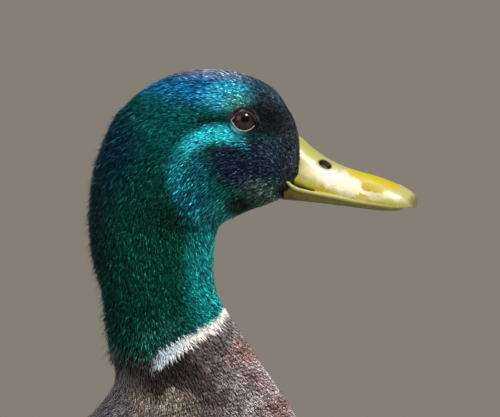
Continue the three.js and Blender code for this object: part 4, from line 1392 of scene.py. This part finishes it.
def rows_on(form, t, degrees, side, seed):
    """Roots in a row across a form at t, at angles down from the back, on one side of the bird."""
    a = np.radians(np.asarray(degrees, float)) * side % (2 * math.pi)
    t = np.broadcast_to(np.asarray(t, float), a.shape)
    return roots_on(form, t, a, (0.0, 1.0), seed)


def wing_coat():
    """The folded wing: lesser and median coverts in front, greater coverts over the speculum, and the
    tertials and scapulars over all of them."""
    covert = vane_shape(6, 4, CONTOUR)
    long_vane = vane_shape(12, 6, POINTED)
    blunt_vane = vane_shape(14, 6, BLUNT)
    for number, (name, side) in enumerate(SIDES.items()):
        on_side = (lambda a: a < math.pi) if side > 0 else (lambda a: a > math.pi)
        seed = 200 + 40 * number
        t, _, lesser = rooted(
            wings,
            spacing=lambda t: 0.3 * wings.feather(t),
            ends=(0.6, 0.92),
            seeds=(seed, seed + 1),
            sway=0.06,
            wanted=lambda p, t, a: on_side(a) & on_skin(wings, t, a),
            unwrap=(0.0, 1.0),
        )
        grown = wings.feather(t) * lesser.vary(0.1)
        high = wings.depth(t) * lesser.vary(0.12)
        lesser_vanes = laid(
            COVERT_VANE, covert, lesser, grown, width=0.7 * grown, low=0.4, high=high, drape=SKIN_TREE
        )
        _, _, wrist = rooted(
            wings,
            spacing=2.3,
            ends=(0.86, 1.0),
            seeds=(seed + 10, seed + 11),
            sway=0.08,
            wanted=lambda p, t, a: on_side(a) & on_skin(wings, t, a, 5),
            unwrap=(0.0, 1.0),
        )
        wrist_vanes = laid(
            PLUMAGE,
            covert,
            wrist,
            length=11,
            width=6.5,
            low=0.4,
            high=2.6 * wrist.vary(0.2),
            drape=SKIN_TREE,
        )
        blue = rows_on(wings, 0.53, np.linspace(126, 70, 9), side, seed + 2)
        greater = rows_on(wings, 0.64, np.linspace(128, 70, 10), side, seed + 3)
        tertials = rows_on(wings, 0.33, (92, 84, 76, 67), side, seed + 7)
        made = coat(
            f"wing_vanes_{name}",
            "wing_feather",
            lesser_vanes,
            wrist_vanes,
            frayed(PLUMAGE, wrist_vanes, per=20, seed=seed + 12, length=3.5, width=0.7, high=0.4),
            frayed(COVERT_VANE, lesser_vanes, per=14, seed=seed + 8, length=3, width=0.7, high=0.25),
            laid(
                SPECULUM_VANE,
                blunt_vane,
                blue,
                length=74,
                width=15,
                low=0.3,
                high=np.linspace(1.6, 3.0, 9),
                drape=SKIN_TREE,
            ),
            laid(
                GREATER_VANE,
                blunt_vane,
                greater,
                length=42,
                width=13,
                low=0.8,
                high=np.linspace(2.2, 3.4, 10),
                drape=SKIN_TREE,
            ),
            laid(
                TERTIAL_VANE,
                long_vane,
                tertials,
                length=(86, 92, 92, 84),
                width=22,
                low=2.0,
                high=(4, 5, 6, 7),
                bow=0.02,
            ),
        )
        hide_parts(f"wing_{name}")
        t, _, roots = rooted(
            scapulars,
            spacing=lambda t: 0.17 * scapulars.feather(t) + 1.0,
            ends=(0.3, 1.0),
            seeds=(seed + 5, seed + 6),
            sway=0.05,
            wanted=lambda p, t, a: on_side(a) & on_skin(scapulars, t, a),
        )
        grown = scapulars.feather(t) * roots.vary(0.08)
        high = scapulars.depth(t) * (0.1 + roots.vary(0.1))
        worn = laid(
            SCAPULAR_VANE,
            long_vane,
            roots,
            grown,
            width=6 + 0.22 * grown,
            low=0.5,
            high=high,
            drape=SKIN_TREE,
        )
        fringe = frayed(SCAPULAR_VANE, worn, per=60, seed=seed + 9, length=4.5, width=0.7, high=0.25)
        made = coat(f"scapular_vanes_{name}", "scapular_feather", worn, fringe)
        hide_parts(f"scapulars_{name}")


def turned_roots(places, turns, seed):
    """Roots of flight feathers, which point to the tail until turned by their roll, sweep and dip in
    degrees."""
    lies, ups = [], []
    for roll, sweep, dip in turns:
        turn = Matrix.Rotation(math.radians(dip), 3, "Y")
        turn = turn @ Matrix.Rotation(math.radians(sweep), 3, "Z")
        turn = turn @ Matrix.Rotation(math.radians(roll), 3, "X")
        lies.append(turn @ Vector((-1, 0, 0)))
        ups.append(turn @ Vector((0, 0, 1)))
    share = (np.arange(len(places)) + 0.5) / len(places)
    place = EYES + MM * np.array(places, float)
    return Roots(place, np.array(lies), np.array(ups), np.stack([share, share], -1), seed)


PRIMARIES = {"count": 6, "length": 90, "width": 13, "root": (-203, 27, -165.5)}
TAIL = {"pairs": 8, "length": 92, "width": 20, "root": (-246, 0, -185)}


def flight_feathers():
    """The primaries' tips crossed over the rump, and the fan of the tail."""
    vane = vane_shape(16, 6, POINTED)
    for number, (name, side) in enumerate(SIDES.items()):
        x, y, z = PRIMARIES["root"]
        order = np.linspace(0, 2, PRIMARIES["count"])
        places = [(x, side * (y + 2 * i), z + 1.3 * i) for i in order]
        turns = [(-side * 12, side * (7 + 3 * i), -5) for i in order]
        roots = turned_roots(places, turns, 300 + number)
        length = PRIMARIES["length"] - 12 * order
        hand = laid(PRIMARY_VANE, vane, roots, length, PRIMARIES["width"], low=0.0, high=0.3, bow=0.01)
        made = coat(f"primary_vanes_{name}", "wing_feather", hand)
        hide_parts(f"primaries_{name}")
    out = np.arange(-TAIL["pairs"] + 0.5, TAIL["pairs"]) / TAIL["pairs"]
    x, y, z = TAIL["root"]
    places = [(x, 1.5 * o, z - 2.6 * abs(o) + 1.2) for o in out]
    turns = [(-14 * o, 24 * o, 2) for o in out]
    roots = turned_roots(places, turns, 310)
    length = TAIL["length"] * (1 - 0.2 * np.abs(out) ** 1.5)
    fan = laid(TAIL_VANE, vane_shape(16, 6, BLUNT), roots, length, TAIL["width"], low=0.0, high=0.0)
    made = coat("tail_vanes", "tail_feather", fan)
    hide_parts("tail")


CURL_CENTRE, CURL_RADIUS = (-279, -159), 12.5


def tail_curls():
    """Two central tail coverts each side, rolled up and forward."""
    ribbon = vane_shape(40, 4, (0.4, 0.8, 1, 1, 1, 1, 0.9, 0.75, 0.0))
    for number, (name, side) in enumerate(SIDES.items()):
        batches = []
        for k, (y, smaller) in enumerate(((3.6, 0.0), (4.6, 1.6))):
            line = [(-252, -178), (-266, -173.5 + smaller)]
            for i in range(8):
                angle = math.radians(-112 - 36 * i)
                reach = CURL_RADIUS - smaller - 0.85 * i
                line.append(
                    (CURL_CENTRE[0] + reach * math.cos(angle), CURL_CENTRE[1] + reach * math.sin(angle))
                )
            bend = np.array([(line[0][0] - x, z - line[0][1]) for x, z in line])
            place = EYES + MM * np.array([[line[0][0], side * y, line[0][1]]])
            share = np.full((1, 2), float(k))
            roots = Roots(place, [(-1, 0, 0)], [(0, 0, 1)], share, 320 + number)
            batches.append(laid(
                BLACK_VANE, ribbon, roots, length=80, width=7, low=0.0, high=0.0, bend=bend
            ))
        made = coat(f"curled_covert_{name}", "black_feather", *batches)
        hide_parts(f"tail_curl_{name}")


# ---------------------------------------------------------------- Bill

# The cutting edge of the upper bill from the gape to the tip, as (x, y, z, radius).
TOMIUM = (
    (17.6, 10.3, -24.6, 0.5),
    (20, 10.6, -27, 0.75),
    (23, 10.4, -28.6, 0.8),
    (30.5, 10.1, -30.3, 0.8),
    (38.5, 9.9, -31.9, 0.75),
    (46, 10.3, -33.6, 0.7),
    (55.5, 11.1, -35.1, 0.6),
    (62.8, 11.0, -35.9, 0.55),
    (68, 8.7, -35.7, 0.5),
    (71, 5.4, -35.5, 0.45),
    (71.8, 0, -35.4, 0.4),
)


def tube(points, along, around, side):
    """A round bead along points (x, y, z, radius), y out from the middle on the given side."""
    rows = np.array(points, float) * (1, side, 1, 1)

    def place(t, a):
        p = follow(rows, t)
        way = unit(follow(rows, t + 0.004)[..., :3] - follow(rows, t - 0.004)[..., :3])
        across = unit(np.cross(way, (0, 0, 1)))
        over = np.cross(across, way)
        ring = np.cos(a)[..., None] * across + np.sin(a)[..., None] * over
        return EYES + MM * (p[..., :3] + ring * p[..., 3:])

    return rolled(place, along, around)


def carved(mesh, depth_at):
    """Moves a mesh's points in along their normals by depth_at(points in mm), in mm."""
    count = len(mesh.vertices)
    co, normal = np.empty(count * 3), np.empty(count * 3)
    mesh.vertices.foreach_get("co", co)
    mesh.vertex_normals.foreach_get("vector", normal)
    co, normal = co.reshape(-1, 3), normal.reshape(-1, 3)
    depth = depth_at((co - EYES) / MM)
    mesh.vertices.foreach_set("co", (co - normal * depth[:, None] * MM).ravel())
    mesh.update()
    return mesh


def near_nostril(p):
    turn = math.radians(NOSTRIL["turn"])
    x, z = p[..., 0] - NOSTRIL["at"][0], p[..., 2] - NOSTRIL["at"][1]
    u = x * math.cos(turn) + z * math.sin(turn)
    v = z * math.cos(turn) - x * math.sin(turn)
    return np.hypot(u / NOSTRIL["reach"][0], v / NOSTRIL["reach"][1])


def bill_hollows(p):
    """Nostrils with a soft rim, and the edge of the nail."""
    away = near_nostril(p)
    outside = np.abs(p[..., 1]) > 4
    pit = NOSTRIL["depth"] * ease((1.08 - away) / 0.4)
    rim = 0.28 * np.exp(-(((away - 1.3) / 0.16) ** 2))
    nail = np.hypot((p[..., 0] - 70) / 5.5, p[..., 1] / 4.6)
    horn = 0.3 * ease((1.05 - nail) / 0.18) * (p[..., 2] > -36)
    return np.where(outside, pit - rim, 0.0) - horn


def bill():
    upper, lower = Form(UPPER_BILL), Form(LOWER_BILL)
    shell = join(
        rolled(upper.point, 130, 110), *[tube(TOMIUM, 90, 12, side) for side in SIDES.values()]
    )
    mesh = carved(fused(shell, 0.32, 3), bill_hollows)
    made = piece("upper_bill", mesh, "bill", UPPER_HORN)
    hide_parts("bill_upper", "bill_nail")
    made = piece("lower_bill", mesh_of(rolled(lower.point, 90, 72)), "bill", LOWER_HORN)
    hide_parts("bill_lower")


# ---------------------------------------------------------------- Eyes and lids

LID_PROFILE = (
    (0.96, -0.6),
    (0.975, 0.1),
    (1.03, 0.42),
    (1.1, 0.36),
    (1.17, 0.12),
    (1.25, 0.3),
    (1.4, 0.25),
    (1.6, -0.1),
    (1.6, -1.2),
    (1.2, -1.2),
)


def opening(around):
    """The gap between the lids, as (x, z) in millimetres, with a crease at each corner."""
    tilt = math.radians(-5)
    c, s = np.cos(around), np.sin(around)
    x, z = EYE_OPENING[0] * c, EYE_OPENING[1] * s
    front = np.exp(-(((around + 0.12 + math.pi) % (2 * math.pi) - math.pi) / 0.22) ** 2)
    rear = np.exp(-(((around - 3.2 + math.pi) % (2 * math.pi) - math.pi) / 0.22) ** 2)
    x = x + 0.8 * front - 0.7 * rear
    return np.stack(
        [0.45 + x * math.cos(tilt) - z * math.sin(tilt), -0.5 + x * math.sin(tilt) + z * math.cos(tilt)],
        -1,
    )


def lid_point(side, around, grow, lift):
    """A point round an eye: grow is its share out from the opening's middle and lift is mm off the
    eyeball, or off the skin further out."""
    flat = opening(around) * grow[..., None]
    x, z = flat[..., 0], flat[..., 1]
    ball = EYE_OUT + np.sqrt(np.maximum(EYE_RADIUS**2 - x * x - z * z, 0.4))
    skin_out = np.empty(x.size)
    for k, (u, v) in enumerate(zip(x.ravel(), z.ravel())):
        start = EYES + MM * np.array([u, side * 60, v])
        hit, _, _, _ = SKIN_TREE.ray_cast(start, (0, -side, 0))
        skin_out[k] = abs(hit.y) / MM if hit else EYE_OUT
    blend = ease((grow - 1.05) / 0.4)
    y = ball * (1 - blend) + skin_out.reshape(x.shape) * blend + lift
    return EYES + MM * np.stack([x, side * y, z], -1)


def eyes():
    profile = np.array(LID_PROFILE + LID_PROFILE[:1])
    for name, side in SIDES.items():
        bm = bmesh.new()
        bmesh.ops.create_uvsphere(bm, u_segments=64, v_segments=48, radius=EYE_RADIUS * MM)
        bmesh.ops.translate(bm, verts=bm.verts, vec=EYES + MM * np.array([0, side * EYE_OUT, 0]))
        ball = piece(f"eyeball_{name}", mesh_of(bm), "eye", EYE)
        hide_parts(f"eye_{name}")

        def lid(t, a):
            row = follow(profile, a / (2 * math.pi))
            return lid_point(side, 2 * math.pi * t, row[..., 0], row[..., 1])

        piece(f"eyelids_{name}", mesh_of(rolled(lid, 96, 40, closed_ends=False)), None, LID)

        def rim(t, a):
            around = math.radians(150) + t * math.radians(205)
            thick = 0.26 * np.sqrt(np.clip(np.sin(t * math.pi), 0.02, 1))
            grow = 1.015 + thick * np.cos(a) / 4.2
            return lid_point(side, around, grow, 0.34 + thick * np.sin(a))

        piece(f"lid_rim_{name}", mesh_of(rolled(rim, 72, 12)), None, LID_RIM)


# ---------------------------------------------------------------- Legs

FLOOR = -340
# Each toe: length, turn outwards from straight ahead in degrees, claw length and number of joints.
TOES = {"inner": (38, -27, 6, 2), "middle": (50, -3, 7.5, 3), "outer": (46, 20, 6, 4)}
HIND_TOE = (12, 197, 4.5, 1)
WEB_REACH, WEB_HOLLOW, WEB_THICKNESS = 0.94, 0.81, 1.3


def toe_line(one):
    """A toe's start and end, and the way that it points."""
    length, turn = one[:2]
    start = np.array([TOE_JOINT[0], TOE_JOINT[1], FLOOR + 3.0])
    if one is HIND_TOE:
        start += (-5.6, -1.2, 1.5)
    way = np.array([math.cos(math.radians(turn)), math.sin(math.radians(turn)), 0])
    end = start + way * length
    end[2] = FLOOR + 2.1
    return start, end, way


def toe(one, side):
    """A toe that swells between its joints, with a pad under each."""
    start, end, _ = toe_line(one)
    length, steps = one[0], 2 * one[3]
    thick = 2.0 if one is HIND_TOE else 2.75
    profile = [(-0.5, 2.4)]
    for i in range(steps + 1):
        share = i / steps
        swell = 0.35 if i % 2 == 1 else -0.1
        profile.append((share * length, thick - 0.8 * share + swell))
    profile.append((length + 1.4, 1.5))
    return rolled(Stem(start, end, profile, side).point, 60, 28)


def claw(one, side):
    """A horn claw that curves down to a point."""
    _, end, way = toe_line(one)
    reach = one[2]
    rows = []
    for share, radius in ((0, 1.35), (0.3, 1.3), (0.6, 1.0), (0.85, 0.6), (1, 0.15)):
        p = end + way * (reach * share + 0.4)
        rows.append((p[0], p[1], FLOOR + 2.3 - 1.6 * share**2, radius))
    return tube(rows, 24, 16, side)


def web(side):
    """The skin between the front toes, thin and hollowed at its edge."""
    turns = np.array([one[1] for one in TOES.values()], float)
    reaches = np.array([one[0] * WEB_REACH for one in TOES.values()])

    def place(t, a):
        turn = turns[0] + (turns[-1] - turns[0]) * t
        leg = np.interp(turn, turns, np.arange(3.0))
        hollow = 4 * (leg % 1) * (1 - leg % 1)
        reach = np.interp(turn, turns, reaches) * (1 - (1 - WEB_HOLLOW) * 0.8 * hollow)
        over = (a < math.pi).astype(float)
        share = np.where(a < math.pi, a / math.pi, 2 - a / math.pi)
        x = TOE_JOINT[0] + reach * share * np.cos(np.radians(turn))
        y = side * (TOE_JOINT[1] + reach * share * np.sin(np.radians(turn)))
        ripple = 0.25 * hollow * np.sin(share * 26) * share
        rim = np.minimum(1, 12 * share * (1 - share) + 0.15)
        z = FLOOR + 0.35 + over * (WEB_THICKNESS * rim + ripple)
        return EYES + MM * np.stack([x, y, z], -1)

    return rolled(place, 90, 80)


def legs():
    for name, side in SIDES.items():
        shank = rolled(Stem(ANKLE, TOE_JOINT, SHANK, side).point, 80, 36)
        joint = bmesh.new()
        bmesh.ops.create_icosphere(joint, subdivisions=4, radius=4.8 * MM)
        middle = np.array(TOE_JOINT, float) * (1, side, 1) + (0, 0, -1.2)
        bmesh.ops.translate(joint, verts=joint.verts, vec=EYES + MM * middle)
        toes = [toe(one, side) for one in (*TOES.values(), HIND_TOE)]
        mesh = fused(join(shank, joint, web(side), *toes), 0.5, 3)
        for vert in mesh.vertices:
            vert.co.z = max(vert.co.z, 0.0)
        made = piece(f"leg_{name}", mesh, "leg_scale", LEG)
        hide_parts(f"shank_{name}", f"foot_{name}", f"hind_toe_{name}")
        horn = join(*[claw(one, side) for one in (*TOES.values(), HIND_TOE)])
        made = piece(f"claws_{name}", mesh_of(horn), "claw", CLAW)
        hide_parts(*[f"claw_{toe_name}_{name}" for toe_name in (*TOES, "hind")])


head_coat()
collar_coat()
body_coat()
body_down()
lower_back_coat()
flank_coat()
thigh_coat()
wing_coat()
flight_feathers()
tail_curls()
bill()
eyes()
legs()

# ---------------------------------------------------------------- Camera, light and floor


def studio():
    world = bpy.data.worlds.new("studio")
    bpy.context.scene.world = world
    world.use_nodes = True
    feed(world.node_tree, world.node_tree.nodes["Background"], {"Color": "#d9cfc0", "Strength": 0.34})
    # Each lamp: where it stands from the middle of the view in metres, its size and its power.
    lamps = {
        "key": ((0.7, -0.85, 1.1), 0.4, 35),
        "top": ((-0.1, -0.1, 1.5), 0.9, 14),
        "fill": ((-0.9, -1.2, 0.5), 1.0, 10),
        "back": ((-0.4, 1.3, 0.9), 0.8, 10),
    }
    aim = Vector((EYES[0], 0, EYES[2] - 0.05))
    for name, (at, size, power) in lamps.items():
        lamp = bpy.data.lights.new(name, "AREA")
        lamp.size, lamp.energy = size, power
        held = bpy.data.objects.new(name, lamp)
        held.location = aim + Vector(at)
        held.rotation_euler = (aim - held.location).to_track_quat("-Z", "Y").to_euler()
        bpy.context.scene.collection.objects.link(held)
    bm = bmesh.new()
    bmesh.ops.create_grid(bm, x_segments=1, y_segments=1, size=4.6)
    paper, _, _ = finish("paper_floor", {"Roughness": 0.9, "Base Color": "#bdbab2"})
    floor = bpy.data.objects.new("floor", mesh_of(bm))
    floor.data.materials.append(paper)
    bpy.context.scene.collection.objects.link(floor)


def camera():
    """A long lens square to the bird's right side, framing its head and neck."""
    frame_width = 208.33  # mm seen across, at the bird's middle
    ahead, below = 2.92, 36.46  # the view's middle, from the eyes
    distance = 2.0
    lens = bpy.data.cameras.new("camera")
    lens.sensor_width = 36
    lens.lens = distance * 36 / (frame_width * MM)
    held = bpy.data.objects.new("camera", lens)
    held.location = Vector(EYES) + Vector((ahead * MM, -distance, -below * MM))
    held.rotation_euler = (math.pi / 2, 0, 0)
    bpy.context.scene.collection.objects.link(held)
    bpy.context.scene.camera = held


studio()
camera()
bpy.context.scene.view_settings.view_transform = "Standard"
